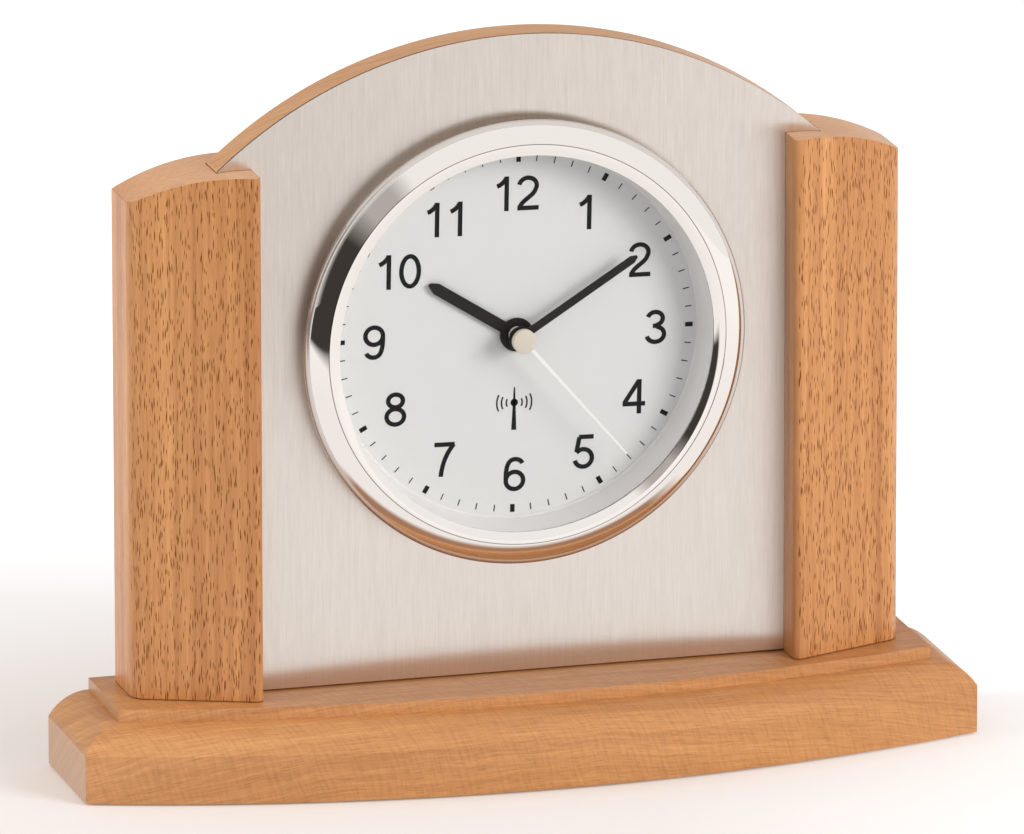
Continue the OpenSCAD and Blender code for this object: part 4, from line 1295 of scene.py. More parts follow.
@dataclass(frozen=True)
class Lettering:
    """Plain upright digits drawn with one round pen, one unit high."""

    pen: float = 0.13
    step: float = 0.67
    width: float = 0.64
    curve_steps: int = 10

    @property
    def edge(self) -> float:
        """Distance of a stroke's middle from the digit's outside."""
        return self.pen / 2

    def oval(self, centre: Point, rx: float, ry: float, start: float, end: float) -> list[Point]:
        """A stretch of an oval.

        Args:
            centre: Its centre.
            rx: Half of its width.
            ry: Half of its height.
            start: The first point's angle in degrees.
            end: The last point's angle in degrees.

        Returns:
            The points from start to end.
        """
        steps = max(4, int(abs(end - start) / 10))
        return [(centre[0] + rx * x, centre[1] + ry * y) for x, y in arc((0, 0), 1, start, end, steps)]

    def curve(self, points: list[Point]) -> list[Point]:
        """A smooth curve from the first of four points to the last, drawn towards the two between.

        Args:
            points: The four points.

        Returns:
            The points of the curve.
        """
        a, b, c, d = (Vector(p) for p in points)
        shares = [i / self.curve_steps for i in range(self.curve_steps + 1)]
        near = [a * (1 - t) ** 3 + b * 3 * t * (1 - t) ** 2 for t in shares]
        far = [c * 3 * t * t * (1 - t) + d * t**3 for t in shares]
        return [(p.x + q.x, p.y + q.y) for p, q in zip(near, far)]

    def digit(self, name: str) -> list[list[Point]]:
        """The strokes of one digit.

        Args:
            name: The digit.

        Returns:
            Its strokes, each a path of the pen's middle; a path that ends where it starts is a closed one.
        """
        e, w = self.edge, self.width
        low, top, mid = e, 1 - e, w / 2
        bowl_r = mid - e
        if name == "0":
            return [self.oval((mid, 0.5), bowl_r, 0.5 - e, 0, 360)]
        if name == "1":
            flag = self.curve([(0.09, 0.72), (0.2, 0.76), (0.31, 0.85), (0.36, 0.97)])
            return [[(0.37, 0), (0.37, 1)], flag]
        if name == "2":
            head = self.oval((mid, 0.71), bowl_r, 0.29 - e, 172, -28)
            tail = self.curve([head[-1], (0.5, 0.4), (0.13, 0.3), (0.08, low)])
            return [head + tail[1:], [(0.02, low), (w, low)]]
        if name == "3":
            head = self.oval((mid - 0.02, 0.745), bowl_r - 0.035, 0.255 - e, 165, -82)
            foot = self.oval((mid - 0.01, 0.285), bowl_r, 0.285 - e, 84, -167)
            return [head, foot, [(0.23, 0.535), (0.34, 0.535)]]
        if name == "4":
            return [[(0.49, 0), (0.49, 1)], [(0.475, 0.965), (0.055, 0.32)], [(0.01, 0.29), (0.67, 0.29)]]
        if name == "5":
            bowl = self.oval((mid - 0.015, 0.32), bowl_r, 0.32 - e, 142, -165)
            return [[(0.17, top), (0.6, top)], [(0.185, top), (0.105, 0.5)], bowl]
        if name == "6":
            bowl = self.oval((mid + 0.015, 0.315), bowl_r, 0.315 - e, 0, 360)
            head = self.oval((mid + 0.03, 0.75), bowl_r - 0.035, 0.25 - e, 18, 90)
            side = self.curve([head[-1], (0.13, top), (e + 0.01, 0.72), (e + 0.015, 0.34)])
            return [bowl, head + side[1:]]
        if name == "7":
            leg = self.curve([(0.6, top), (0.4, 0.72), (0.25, 0.35), (0.23, 0.0)])
            return [[(0.03, top), (0.62, top)], leg]
        if name == "8":
            head = self.oval((mid, 0.75), bowl_r - 0.04, 0.25 - e, 0, 360)
            return [head, self.oval((mid, 0.29), bowl_r, 0.29 - e, 0, 360)]
        return [[(w - x, 1 - y) for x, y in path] for path in self.digit("6")]

    def stroke(self, path: list[Point], shift: float, ink: float) -> Mesh:
        """Draws one stroke of the pen, with square ends.

        Args:
            path: The pen's middle.
            shift: How far the stroke stands to the right.
            ink: Thickness of the ink.

        Returns:
            The stroke as a flat solid.
        """
        points = level((x + shift, y) for x, y in path)
        closed = (points[0] - points[-1]).length < 0.001
        if closed:
            points.pop()
        bm = bmesh.new()
        sides = []
        for i, here in enumerate(points):
            before = points[i - 1] if i or closed else here
            after = points[(i + 1) % len(points)] if closed or i + 1 < len(points) else here
            way = ((here - before).normalized() + (after - here).normalized()).normalized()
            out = Vector((way.y, -way.x, 0)) * self.edge
            sides.append((bm.verts.new(here + out), bm.verts.new(here - out)))
        pairs = list(zip(sides, sides[1:] + sides[:1] if closed else sides[1:]))
        for (a, b), (c, d) in pairs:
            bm.faces.new((a, b, d, c))
        thicken(bm, Vector((0, 0, ink)))
        return bm


@dataclass
class Dial:
    """The matt dial with printed numerals, marks and a small radio sign."""

    finish: Finishes
    origin: Vector
    face_y: float
    turn: float = 1.1
    mark_r: float = 42.8 * MM
    hour_mark: Point = (1.1 * MM, 1.9 * MM)
    minute_mark: Point = (0.25 * MM, 1.6 * MM)
    numeral_r: float = 34.7 * MM
    numeral_h: float = 8.42 * MM
    nudges: tuple[Point, ...] = (
        (-0.74, -1.3), (0.25, -0.87), (-0.12, -0.25), (-0.5, 0.28), (0.0, 0.1), (0.4, 0.2),
        (0.5, 0.1), (0.86, 0.3), (0.0, -0.37), (1.35, -0.83), (-0.6, -1.34), (-0.12, -0.49),
    )
    sign_r: float = 18.3 * MM
    mast: tuple[Point, Point] = ((0.62 * MM, -5.3 * MM), (0.14 * MM, 5.2 * MM))
    dot_h: float = 1.4 * MM
    dot_r: float = 0.92 * MM
    wave_radii: tuple[float, ...] = (1.95 * MM, 3.15 * MM, 4.3 * MM)
    wave_half: float = 0.18 * MM
    wave_reach: float = 28
    lettering: Lettering = Lettering()
    ink: float = 0.05 * MM
    layer_share: float = 0.1
    hole_r: float = 3.45 * MM
    steps: int = 192

    def onto(self, clock_angle: float, radius: float, upright: bool) -> Matrix:
        """The place of a print on the dial.

        Args:
            clock_angle: Direction from the centre, clockwise from the top, in degrees.
            radius: Distance from the centre.
            upright: Whether the print stands upright instead of turning with its place.

        Returns:
            A matrix from the print's own flat drawing to the dial.
        """
        lean = Matrix.Rotation(math.radians(self.turn), 4, "Y")
        out = Matrix.Rotation(math.radians(clock_angle), 4, "Y")
        place = Matrix.Translation((0, 0, radius))
        stand = Matrix.Rotation(math.radians(90), 4, "X")
        back = out.inverted() if upright else Matrix.Identity(4)
        return Matrix.Translation((0, self.face_y, self.origin.z)) @ lean @ out @ place @ back @ stand

    def build(self) -> None:
        """Makes dial and print."""
        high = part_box("dial")[1]
        depth = high.y - self.face_y
        profile = [(self.hole_r, 0.0), (high.x, 0.0), (high.x, depth), (self.hole_r, depth)]
        bm = at_place(turned(profile, self.steps), (0, self.face_y, self.origin.z), Turn.BACK)
        Piece("matt_dial", "dial_white", self.finish.dial, ("dial",), sharp=20).build(bm)
        self.build_marks()
        self.build_numerals()
        self.build_sign()

    def build_marks(self) -> None:
        """The sixty marks of the minutes and hours."""
        marks = []
        for i in range(60):
            width, length = self.hour_mark if i % 5 == 0 else self.minute_mark
            mark = block((-width / 2, -length / 2, 0), (width / 2, length / 2, self.ink))
            bmesh.ops.transform(mark, matrix=self.onto(i * 6, self.mark_r, False), verts=mark.verts)
            marks.append(mark)
        Piece("dial_marks", "black_lacquer", self.finish.print).build(merge(marks))

    def numeral(self, text: str) -> Mesh:
        """One numeral as a flat drawing, centred on its middle.

        Args:
            text: The numeral.

        Returns:
            The drawing, with the thickness of its ink.
        """
        strokes = []
        for place, digit in enumerate(text):
            shift = place * self.lettering.step
            for layer, path in enumerate(self.lettering.digit(digit)):
                ink = self.ink * (1 + self.layer_share * layer)
                strokes.append(self.lettering.stroke(path, shift, ink / self.numeral_h))
        bm = merge(strokes)
        xs = [v.co.x for v in bm.verts]
        bmesh.ops.translate(bm, vec=(-(min(xs) + max(xs)) / 2, -0.5, 0), verts=bm.verts)
        bmesh.ops.scale(bm, vec=(self.numeral_h,) * 3, verts=bm.verts)
        return bm

    def build_numerals(self) -> None:
        """The twelve upright numerals."""
        numerals = []
        for hour in range(1, 13):
            bm = self.numeral(str(hour))
            bmesh.ops.transform(bm, matrix=self.onto(hour * 30, self.numeral_r, True), verts=bm.verts)
            across, up = self.nudges[hour - 1]
            bmesh.ops.translate(bm, vec=(across * MM, 0, up * MM), verts=bm.verts)
            numerals.append(bm)
        Piece("dial_numerals", "black_lacquer", self.finish.print).build(merge(numerals))

    def build_sign(self) -> None:
        """A plain sign for radio reception: a mast with waves on both sides."""
        (foot_x, foot_h), (tip_x, tip_h) = self.mast
        centre, reach = (0, self.dot_h), self.wave_reach
        mast = [(-foot_x, foot_h), (foot_x, foot_h), (tip_x, tip_h), (-tip_x, tip_h)]
        loops = [mast, circle(self.dot_r, 20, centre)]
        for radius in self.wave_radii:
            for middle in (0, 180):
                outer = arc(centre, radius + self.wave_half, middle - reach, middle + reach, 10)
                inner = arc(centre, radius - self.wave_half, middle + reach, middle - reach, 10)
                loops.append(outer + inner)
        bm = merge(sheet_with_holes([level(loop)], Vector((0, 0, self.ink))) for loop in loops)
        bmesh.ops.transform(bm, matrix=self.onto(180, self.sign_r, True), verts=bm.verts)
        Piece("radio_sign", "black_lacquer", self.finish.print).build(bm)


@dataclass
class Hands:
    """Hour, minute and second hand."""

    finish: Finishes
    origin: Vector
    hour_angle: float = 302.6
    minute_angle: float = 58.0
    second_angle: float = 139.3
    blade_t: float = 0.4 * MM
    tip_share: float = 0.22
    shoulder_share: float = 0.75
    black_ease: float = 0.06 * MM
    pale_ease: float = 0.03 * MM
    hour: Triple = (25.5 * MM, 2.8 * MM, 4.1 * MM)
    hour_collar: Triple = (2.8 * MM, 2.08 * MM, 0.6 * MM)
    minute: Triple = (33.9 * MM, 1.9 * MM, 2.8 * MM)
    minute_collar: Triple = (2 * MM, 1.28 * MM, 1.2 * MM)
    collar_ease: float = 0.08 * MM
    second: Point = (38.6 * MM, 0.45 * MM)
    second_drop: float = 0.52 * MM
    tube_r: Point = (0.48 * MM, 1.2 * MM)
    tube_drop: Point = (0.9 * MM, 0.1 * MM)
    cap_r: float = 2.9 * MM
    cap_h: float = 1.5 * MM
    cap_ease: float = 0.12 * MM
    cap_dome: tuple[Point, ...] = (
        (0.0, 0.0), (0.5, 0.01 * MM), (0.85, 0.07 * MM), (0.96, 0.16 * MM), (1.0, 0.32 * MM),
    )

    def blade(self, length: float, width: float, eye_r: float, front_y: float) -> Mesh:
        """A flat hand that points up, with a round eye and a rounded point.

        Args:
            length: From the axis to the tip.
            width: The blade's width.
            eye_r: Radius of the round eye.
            front_y: Place of its front.

        Returns:
            The mesh, standing at the hands' axis.
        """
        meet = math.degrees(math.acos(width / 2 / eye_r))
        tip_r, shoulder = width * self.tip_share, length - width * self.shoulder_share
        points = arc((0, 0), eye_r, 180 - meet, 360 + meet, 40) + [(width / 2, shoulder)]
        points += arc((0, length - tip_r), tip_r, 35, 145, 5) + [(-width / 2, shoulder)]
        return self.cut(points, front_y)

    def cut(self, points: list[Point], front_y: float) -> Mesh:
        """Cuts a flat upright hand from its outline round the axis."""
        loop = [(x, front_y, self.origin.z + z) for x, z in points]
        return sheet_with_holes([loop], Vector((0, self.blade_t, 0)))

    def collar(self, front_y: float, radius: float, bore: float, depth: float) -> Mesh:
        """The short pipe behind a hand's eye.

        Args:
            front_y: Place of the hand's front.
            radius: The pipe's outer radius.
            bore: Its inner radius.
            depth: Its length.

        Returns:
            The closed mesh.
        """
        profile = eased([(bore, 0), (radius, 0), (radius, depth), (bore, depth)], self.collar_ease)
        place = (0, front_y + self.blade_t / 2, self.origin.z)
        return at_place(turned(profile, SMALL_STEPS), place, Turn.BACK)

    def build(self) -> None:
        """Makes the three hands."""
        for node, body, size, collar, angle in (
            ("hour_hand", "hour_works", self.hour, self.hour_collar, self.hour_angle),
            ("minute_hand", "minute_works", self.minute, self.minute_collar, self.minute_angle),
        ):
            front_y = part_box(node)[0].y
            hand = merge([self.blade(*size, front_y), self.collar(front_y, *collar)])
            look = self.finish.black
            piece = Piece("black_" + node, "black_lacquer", look, (node,), body, ease=self.black_ease)
            piece.build(clockwise(hand, angle, self.origin.z))
        self.build_second()

    def build_second(self) -> None:
        """The thin pale hand and its turned cap."""
        low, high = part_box("second_hand")
        length, width = self.second
        outline = [(-width, 0), (width, 0), (width / 2, length), (-width / 2, length)]
        blade = self.cut(outline, low.y + self.second_drop)
        (inner, outer), (inner_drop, outer_drop), depth = self.tube_r, self.tube_drop, high.y - low.y
        tube = turned([(outer, outer_drop), (outer, depth), (inner, depth), (inner, inner_drop)], SMALL_STEPS)
        place = (0, low.y, self.origin.z)
        hand = clockwise(merge([blade, at_place(tube, place, Turn.BACK)]), self.second_angle, self.origin.z)
        look, body = self.finish.pale, "second_works"
        piece = Piece("pale_second_hand", "silver_lacquer", look, ("second_hand",), body, ease=self.pale_ease)
        piece.build(hand)
        rim, back = self.cap_r, self.cap_h
        dome = [(rim * share, drop) for share, drop in self.cap_dome]
        dome += [(rim, back - self.cap_ease), (rim - self.cap_ease, back), (0, back)]
        cap = at_place(turned(dome, closed=False), place, Turn.BACK)
        Piece("champagne_cap", "silver_lacquer", self.finish.champagne, (), body, sharp=35).build(cap)


# Movement and fasteners


@dataclass(frozen=True)
class ScrewSize:
    """The sizes of one kind of screw."""

    head_r: float
    head_h: float
    shank_r: float
    length: float


@dataclass
class Screws:
    """Screw heads with a cross recess, and their shanks."""

    finish: Finishes
    claw: ScrewSize = ScrewSize(2.2 * MM, 1.2 * MM, 1.1 * MM, 3 * MM)
    cover: ScrewSize = ScrewSize(1.6 * MM, 0.45 * MM, 0.7 * MM, 7.9 * MM)
    movement: ScrewSize = ScrewSize(1.8 * MM, 0.8 * MM, 0.8 * MM, 3.9 * MM)
    pillar_head: Point = (3.6 * MM, 2.3 * MM)
    pillar_shank_r: float = 1.8 * MM
    claws: int = 3
    claw_t: float = 0.6 * MM
    claw_ring_r: float = 43.5 * MM
    crown: float = 0.8
    shoulders: tuple[Point, ...] = ((0.94, 0.82), (1.0, 0.55), (1.0, 0.0))
    recess_arm: float = 0.62
    recess_half: float = 0.13
    recess_depth: float = 0.55
    recess_taper: float = 0.8
    point_share: float = 0.1

    def screw(self, size: ScrewSize) -> Mesh:
        """A screw whose head's underside lies at height 0 and whose shank runs down.

        Args:
            size: The screw's sizes.

        Returns:
            The mesh round the upright axis.
        """
        head_r, head_h, shank_r = size.head_r, size.head_h, size.shank_r
        arm, half = head_r * self.recess_arm, head_r * self.recess_half
        cross = [(half, half), (half, arm), (-half, arm), (-half, half), (-arm, half), (-arm, -half)]
        cross += [(-half, -half), (-half, -arm), (half, -arm), (half, -half), (arm, -half), (arm, half)]
        bm = bmesh.new()
        recess = ring(bm, level(cross, head_h))
        crown = ring(bm, level(circle(head_r * self.crown, SMALL_STEPS), head_h))
        bmesh.ops.triangle_fill(bm, use_beauty=True, use_dissolve=False, edges=recess + crown)
        levels = [(head_r * wide, head_h * high) for wide, high in self.shoulders]
        point_z = -size.length * (1 - self.point_share)
        levels += [(shank_r, 0.0), (shank_r, point_z), (shank_r / 2, -size.length)]
        rings = [crown] + [ring(bm, level(circle(radius, SMALL_STEPS), z)) for radius, z in levels]
        walls(bm, rings)
        bmesh.ops.edgeloop_fill(bm, edges=rings[-1])
        foot = [(x * self.recess_taper, y * self.recess_taper) for x, y in cross]
        depth = ring(bm, level(foot, head_h * (1 - self.recess_depth)))
        walls(bm, [recess, depth])
        bmesh.ops.edgeloop_fill(bm, edges=depth)
        return bm

    def build(self, insert: Insert) -> None:
        """Makes the screws of claws, cover, movement and pillars.

        Args:
            insert: The insert whose axis the claws stand round.
        """
        place = (0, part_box("arch_board")[1].y + self.claw_t, insert.centre_z + self.claw_ring_r)
        screws = [at_place(self.screw(self.claw), place, Turn.BACK) for _ in range(self.claws)]
        for i, bm in enumerate(screws):
            clockwise(bm, 360 / self.claws * i, insert.centre_z)
        self.finished("claw_screws", screws)
        self.build_backward("cover_screws", self.cover, True)
        self.build_backward("movement_screws", self.movement, False)
        self.build_pillar_screws()

    def finished(self, node: str, screws: list[Mesh]) -> None:
        """Makes one piece of a node's screws."""
        Piece(node + "_cross", "steel", self.finish.steel, (node,), sharp=30).build(merge(screws))

    def build_backward(self, node: str, size: ScrewSize, at_corners: bool) -> None:
        """Makes screws round a node's box, heads to the back.

        Args:
            node: The node that they replace.
            size: The size of each screw.
            at_corners: Whether there is one in each corner, or one at each side.
        """
        low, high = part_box(node)
        xs = (low.x + size.head_r, high.x - size.head_r)
        zs = (low.z + size.head_r, high.z - size.head_r) if at_corners else ((low.z + high.z) / 2,)
        places = [(x, high.y - size.head_h, z) for x in xs for z in zs]
        self.finished(node, [at_place(self.screw(size), place, Turn.BACK) for place in places])

    def build_pillar_screws(self) -> None:
        """The countersunk screws that come up through the base."""
        low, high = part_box("pillar_screws")
        head_r, head_h = self.pillar_head
        size = ScrewSize(head_r, head_h, self.pillar_shank_r, high.z - low.z - head_h)
        over = Matrix.Rotation(math.pi, 3, "X")
        screws = []
        for x in (low.x + head_r, high.x - head_r):
            for y in (low.y + head_r, high.y - head_r):
                bm = self.screw(size)
                bmesh.ops.rotate(bm, cent=(0, 0, 0), matrix=over, verts=bm.verts)
                screws.append(at_place(bm, (x, y, low.z + head_h)))
        self.finished("pillar_screws", screws)


@dataclass
class Movement:
    """The quartz movement with its battery, contacts and buttons."""

    finish: Finishes
    nub: float = 1 * MM
    nub_r: Point = (2.5 * MM, 2.75 * MM)
    nub_ease: Point = (0.05 * MM, 0.2 * MM)
    crimp: float = 0.5 * MM
    crimps: tuple[Point, ...] = ((0.0, 1.0), (0.5, 0.25), (1.4, 0.0), (1.8, 0.5))
    end_sink: float = 0.15 * MM
    end_r: Point = (0.62, 0.66)
    jacket_share: float = 0.72
    spring_turns: int = 4
    spring_taper: float = 0.38
    steps_a_turn: int = 24
    wire: float = 0.28 * MM
    wire_sides: int = 8
    flange_t: float = 0.7 * MM
    stem_r: float = 1.8 * MM
    dome_r: float = 0.6
    dome: tuple[Point, ...] = ((0.0, 0.25 * MM), (0.12 * MM, 0.08 * MM))

    def dress(self) -> None:
        """Gives the movement's own nodes their finishes."""
        finish = self.finish
        for look, nodes in (
            (finish.dark_plastic, ("movement_case", "back_cover")),
            (finish.light_plastic, ("insert_sleeve",)),
            (finish.upright_beech, ("board_dowels",)),
            (finish.nylon, ("hour_wheel", "motion_wheel", "minute_wheel", "second_wheel")),
            (finish.nylon, ("minute_transfer_wheel", "second_transfer_wheel")),
            (finish.magnet, ("minute_rotor", "second_rotor")),
            (finish.steel, ("holding_claws", "minute_stator", "second_stator", "crystal")),
            (finish.winding, ("minute_coil", "second_coil", "antenna_coil")),
            (finish.ferrite, ("antenna_rod",)),
            (finish.board, ("circuit_board",)),
            (finish.chip, ("control_chip",)),
            (finish.brass, ("contact_plate",)),
        ):
            for material_slot in (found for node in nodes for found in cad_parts[node].material_slots):
                material_slot.material = look

    def build(self) -> None:
        """Dresses the movement's nodes and makes its detailed pieces."""
        self.dress()
        self.build_battery()
        self.build_spring()
        self.build_buttons()

    def build_battery(self) -> None:
        """The cell: crimped ends, a button at the right, a plain jacket."""
        low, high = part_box("battery")
        radius = (high.z - low.z) / 2
        length = high.x - low.x
        body, crimp, sunk = length - self.nub, self.crimp, self.end_sink
        (flat_r, rim_r), (nub_top_r, nub_foot_r) = self.end_r, self.nub_r
        profile = [(0, sunk), (radius * flat_r, sunk), (radius * rim_r, 0)]
        profile += [(radius - crimp, 0), (radius, crimp)]
        profile += [(radius - crimp * inwards, body - crimp * down) for inwards, down in self.crimps]
        profile += [(nub_foot_r, profile[-1][1]), (nub_foot_r - self.nub_ease[0], length - self.nub_ease[1])]
        profile += [(nub_top_r, length), (0, length)]
        place = (low.x, (low.y + high.y) / 2, (low.z + high.z) / 2)
        jacket = BatteryJacket(low.x + length * self.jacket_share).build()
        bm = at_place(turned(profile, closed=False), place, Turn.RIGHT)
        Piece("plain_battery", "battery_jacket", jacket, ("battery",), "battery", sharp=30).build(bm)

    def build_spring(self) -> None:
        """The conical spring of the negative contact."""
        low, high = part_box("contact_spring")
        radius = (high.z - low.z) / 2 - self.wire
        travel = high.x - low.x - 2 * self.wire
        steps = self.steps_a_turn * self.spring_turns
        bm = bmesh.new()
        upright = Matrix.Rotation(math.pi / 2, 4, "X")
        sides = self.wire_sides
        made = bmesh.ops.create_circle(bm, cap_ends=False, radius=self.wire, segments=sides, matrix=upright)
        bmesh.ops.translate(bm, vec=(radius, 0, 0), verts=made["verts"])
        coil = {"cent": (0, 0, 0), "axis": (0, 0, 1), "dvec": (0, 0, travel / steps), "steps": steps}
        bmesh.ops.spin(bm, geom=bm.verts[:] + bm.edges[:], angle=2 * math.pi * self.spring_turns, **coil)
        for vert in bm.verts:
            share = 1 - self.spring_taper * min(max(vert.co.z / travel, 0), 1)
            vert.co.x *= share
            vert.co.y *= share
        bmesh.ops.holes_fill(bm, edges=bm.edges[:], sides=sides)
        place = (low.x + self.wire, (low.y + high.y) / 2, (low.z + high.z) / 2)
        spring = Piece("coiled_contact", "steel", self.finish.steel, ("contact_spring",), sharp=60)
        spring.build(at_place(bm, place, Turn.RIGHT))

    def build_buttons(self) -> None:
        """The three push-buttons with slightly domed tops."""
        for node in ("wave_button", "set_button", "reset_button"):
            low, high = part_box(node)
            flange_r, depth, stem_r = (high.x - low.x) / 2, high.y - low.y, self.stem_r
            profile = [(0, 0), (flange_r, 0), (flange_r, self.flange_t), (stem_r, self.flange_t)]
            profile += [(stem_r - inwards, depth - down) for inwards, down in self.dome]
            profile += [(stem_r * self.dome_r, depth), (0, depth)]
            place = ((low.x + high.x) / 2, low.y, (low.z + high.z) / 2)
            bm = at_place(turned(profile, SMALL_STEPS, closed=False), place, Turn.BACK)
            Piece("domed_" + node, "nylon", self.finish.nylon, (node,), node, sharp=30).build(bm)


@dataclass
class Feet:
    """The felt pads."""

    finish: Finishes
    rounding: float = 0.35 * MM
    bulge: float = 0.3
    steps: int = 64

    def build(self) -> None:
        """Makes four pads over the ones of the frame."""
        pads: dict[tuple[bool, bool], list[Vector]] = {}
        low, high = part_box("foot_pads")
        middle = (low + high) / 2
        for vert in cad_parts["foot_pads"].data.vertices:
            pads.setdefault((vert.co.x > middle.x, vert.co.y > middle.y), []).append(vert.co)
        parts = []
        for points in pads.values():
            x0, x1 = min(p.x for p in points), max(p.x for p in points)
            y0, y1 = min(p.y for p in points), max(p.y for p in points)
            radius, height, rounding = (x1 - x0) / 2, high.z - low.z, self.rounding
            bulge = rounding * self.bulge
            profile = [(0, 0), (radius - rounding, 0), (radius - bulge, bulge)]
            profile += [(radius, rounding), (radius, height), (0, height)]
            place = ((x0 + x1) / 2, (y0 + y1) / 2, low.z)
            parts.append(at_place(turned(profile, self.steps, closed=False), place))
        Piece("felt_pads", "felt", self.finish.felt, ("foot_pads",), sharp=40).build(merge(parts))


# Studio


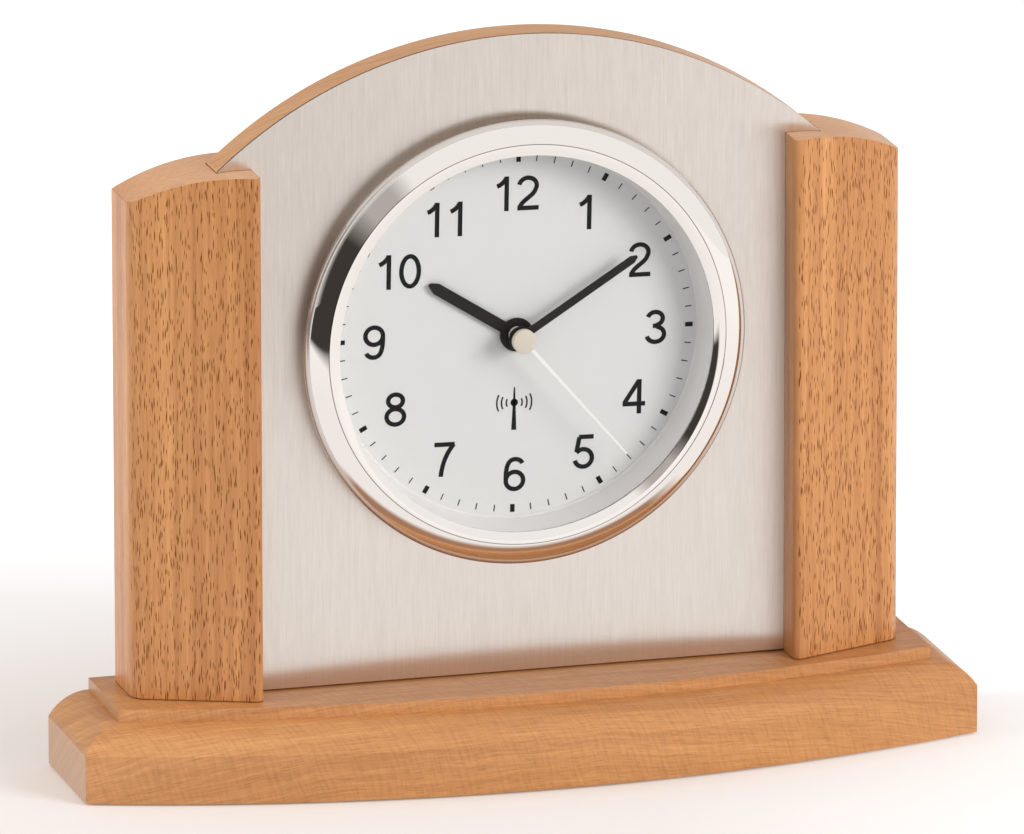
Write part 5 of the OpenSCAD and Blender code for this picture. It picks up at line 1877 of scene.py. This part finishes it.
@dataclass
class Studio:
    """Camera, world, floor and lamps.

    The world and the floor look white. To gloss they also show what the polished bezel mirrors in the
    photograph: a dark corner at the front left, a grey part beside it and one behind the clock, and a warm
    strip along the clock's foot.
    """

    camera_at: Triple = (-0.98401, -3.46871, 1.05936)
    yaw: float = 15.79
    pitch: float = 15.13
    roll: float = -0.06
    lens: float = 555.1
    world_light: float = 0.64
    key_at: Triple = (1.5, -1.9, 0.95)
    key_power: float = 43.5
    side_at: Triple = (-2.2, 0.25, 1.0)
    side_power: float = 26.0
    lamp_size: float = 1.2
    lamps_aim: Triple = (0, 0, 0.08)
    white: Colour = (1.0, 1.0, 1.0)
    grey: Colour = (0.50, 0.48, 0.46)
    dark_corner: Colour = (0.05, 0.045, 0.04)
    corner_hub: Point = (0.26, 0.26)
    corner_dark: Point = (0.9, 0.65)
    corner_grey: Point = (1.5, 1.2)
    corner_x: Point = (0.18, 0.1)
    corner_y: Point = (-0.6, -0.75)
    behind_y: Point = (0.1, 0.25)
    floor_size: float = 12
    # Painted shade: the floor's glow is lower and warmer near the clock, and over the slightly cool floor
    # colour that makes its shade warm.
    floor_colour: Colour = (0.70, 0.72, 0.74)
    floor_middle: Triple = (-0.07, -0.03, 0.0)
    floor_lift: Colour = (0.23, 0.158, 0.108)
    far_lift: Colour = (0.50, 0.49, 0.48)
    lift_from: Point = (0.09, 0.3)
    near_gloss: Colour = (1.0, 0.99, 0.98)
    far_gloss: Colour = (1.11, 1.1, 1.09)
    gloss_from: Point = (0.15, 0.6)
    patch_x: Point = (-0.03, -0.09)
    patch_y: Point = (-0.33, -0.42)
    warm_strip: Colour = (0.42, 0.23, 0.135)
    strip_x: Point = (0.11, 0.08)
    strip_y: Point = (-0.06, -0.045)

    def build(self) -> None:
        """Sets the whole stage."""
        self.build_camera()
        self.build_world()
        self.build_floor()
        self.build_lamp("key", self.key_at, self.key_power)
        self.build_lamp("side", self.side_at, self.side_power)
        bpy.context.scene.view_settings.view_transform = "Standard"

    def build_camera(self) -> None:
        """The camera at the photograph's viewing angle."""
        data = bpy.data.cameras.new("camera")
        data.sensor_width = 36
        data.lens = self.lens
        data.clip_end = 50
        camera = bpy.data.objects.new("camera", data)
        yaw, pitch = math.radians(self.yaw), math.radians(self.pitch)
        ahead = Vector((math.sin(yaw) * math.cos(pitch), math.cos(yaw) * math.cos(pitch), -math.sin(pitch)))
        right = Vector((math.cos(yaw), -math.sin(yaw), 0))
        up = right.cross(ahead)
        turn = Matrix((right, up, -ahead)).transposed() @ Matrix.Rotation(math.radians(self.roll), 3, "Z")
        camera.matrix_world = Matrix.Translation(self.camera_at) @ turn.to_4x4()
        bpy.context.scene.collection.objects.link(camera)
        bpy.context.scene.camera = camera

    def shown(self, s: Shader) -> Socket:
        """What background light is seen by.

        Args:
            s: The material or world in the making.

        Returns:
            1 for rays of camera, gloss and glass, and 0 for all others.
        """
        path = s.node("LightPath").outputs
        return s.larger(s.larger(path["Is Camera Ray"], path["Is Glossy Ray"]), path["Is Transmission Ray"])

    def build_world(self) -> None:
        """White for camera and glass, white with the dark corner for gloss, and plain light for all else."""
        world = bpy.data.worlds.new("studio")
        world.use_nodes = True
        s = Shader("studio", world)
        way = s.split(s.coordinates("Generated"))
        hub_x, hub_z = self.corner_hub
        steep = s.calc("DIVIDE", s.plus(way["Z"], hub_z), s.calc("SUBTRACT", hub_x, way["X"]))
        in_front = s.times(s.ramp(way["Y"], *self.corner_y), s.ramp(way["X"], *self.corner_x))
        dark = s.times(s.ramp(steep, *self.corner_dark), in_front)
        beside = s.times(s.ramp(steep, *self.corner_grey), in_front)
        dim = s.larger(beside, s.ramp(way["Y"], *self.behind_y))
        in_gloss = s.mix(dark, s.mix(dim, self.white, self.grey), self.dark_corner)
        colour = s.mix(s.node("LightPath").outputs["Is Glossy Ray"], self.white, in_gloss)
        both = s.node("MixShader")
        s.feed(both.inputs[0], self.shown(s))
        light = s.node("Background", Color=(*self.white, 1.0), Strength=self.world_light)
        s.feed(both.inputs[1], light.outputs[0])
        s.feed(both.inputs[2], s.node("Background", Color=colour, Strength=1.0).outputs[0])
        s.feed(s.tree.nodes["World Output"].inputs["Surface"], both.outputs[0])
        bpy.context.scene.world = world

    def floor_look(self) -> Look:
        """A floor that looks white away from the clock and has a painted warm shade near it, takes the
        shadow, and shows a dark patch and a warm strip to gloss.

        Returns:
            The material.
        """
        s = Shader("floor_white")
        away = s.node("VectorMath", operation="DISTANCE")
        s.feed(away.inputs[0], s.coordinates())
        away.inputs[1].default_value = self.floor_middle
        distance = away.outputs["Value"]
        at = s.split(s.coordinates())
        patch = s.times(s.ramp(at["Y"], *self.patch_y), s.ramp(at["X"], *self.patch_x))
        strip = s.times(s.ramp(at["Y"], *self.strip_y), s.size_ramp(at["X"], *self.strip_x))
        in_gloss = s.mix(s.ramp(distance, *self.gloss_from), self.near_gloss, self.far_gloss)
        in_gloss = s.mix(patch, s.mix(strip, in_gloss, self.warm_strip), self.dark_corner)
        # Painted shade: less and warmer glow near the clock.
        lift = s.mix(s.ramp(distance, *self.lift_from), self.floor_lift, self.far_lift)
        gloss = s.node("LightPath").outputs["Is Glossy Ray"]
        s.set(
            Base_Color=s.mix(gloss, self.floor_colour, (0.0, 0.0, 0.0)),
            Roughness=0.8,
            Specular_IOR_Level=0.0,
            Emission_Color=s.mix(gloss, lift, in_gloss),
            Emission_Strength=self.shown(s),
        )
        return s.material

    def build_floor(self) -> None:
        """The floor."""
        bm = bmesh.new()
        bmesh.ops.create_grid(bm, x_segments=1, y_segments=1, size=self.floor_size)
        mesh = bpy.data.meshes.new("floor")
        bm.to_mesh(mesh)
        bm.free()
        mesh.materials.append(self.floor_look())
        floor = bpy.data.objects.new("floor", mesh)
        bpy.context.scene.collection.objects.link(floor)

    def build_lamp(self, name: str, place: Sequence[float], power: float) -> None:
        """One large soft lamp, aimed at the clock.

        Args:
            name: The lamp's name.
            place: Where it stands.
            power: Its power in watts.
        """
        data = bpy.data.lights.new(name, "AREA")
        data.shape = "SQUARE"
        data.size = self.lamp_size
        data.energy = power
        lamp = bpy.data.objects.new(name, data)
        aim = (Vector(self.lamps_aim) - Vector(place)).to_track_quat("-Z", "Y")
        lamp.matrix_world = Matrix.Translation(place) @ aim.to_matrix().to_4x4()
        lamp.visible_glossy = False
        bpy.context.scene.collection.objects.link(lamp)


def logged(step: Callable[..., None], *values: object) -> None:
    """Runs one sub-assembly's build and logs it."""
    step(*values)
    LOG.info("built %s", type(step.__self__).__name__)


def main() -> None:
    """Builds stage and clock."""
    logging.basicConfig(level=logging.INFO, format="%(name)s %(message)s")
    finish = Finishes()
    logged(Studio().build)
    dial_low, dial_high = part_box("dial")
    insert = Insert(finish, (dial_low.z + dial_high.z) / 2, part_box("front_sheet")[0].y)
    logged(Base(finish).build)
    logged(Pillars(finish).build)
    logged(Panel(finish).build, insert.centre_z)
    logged(insert.build)
    logged(Dial(finish, insert.origin, insert.face_y + insert.dial_drop).build)
    logged(Hands(finish, insert.origin).build)
    logged(Screws(finish).build, insert)
    logged(Movement(finish).build)
    logged(Feet(finish).build)


if __name__ == "__main__":
    main()
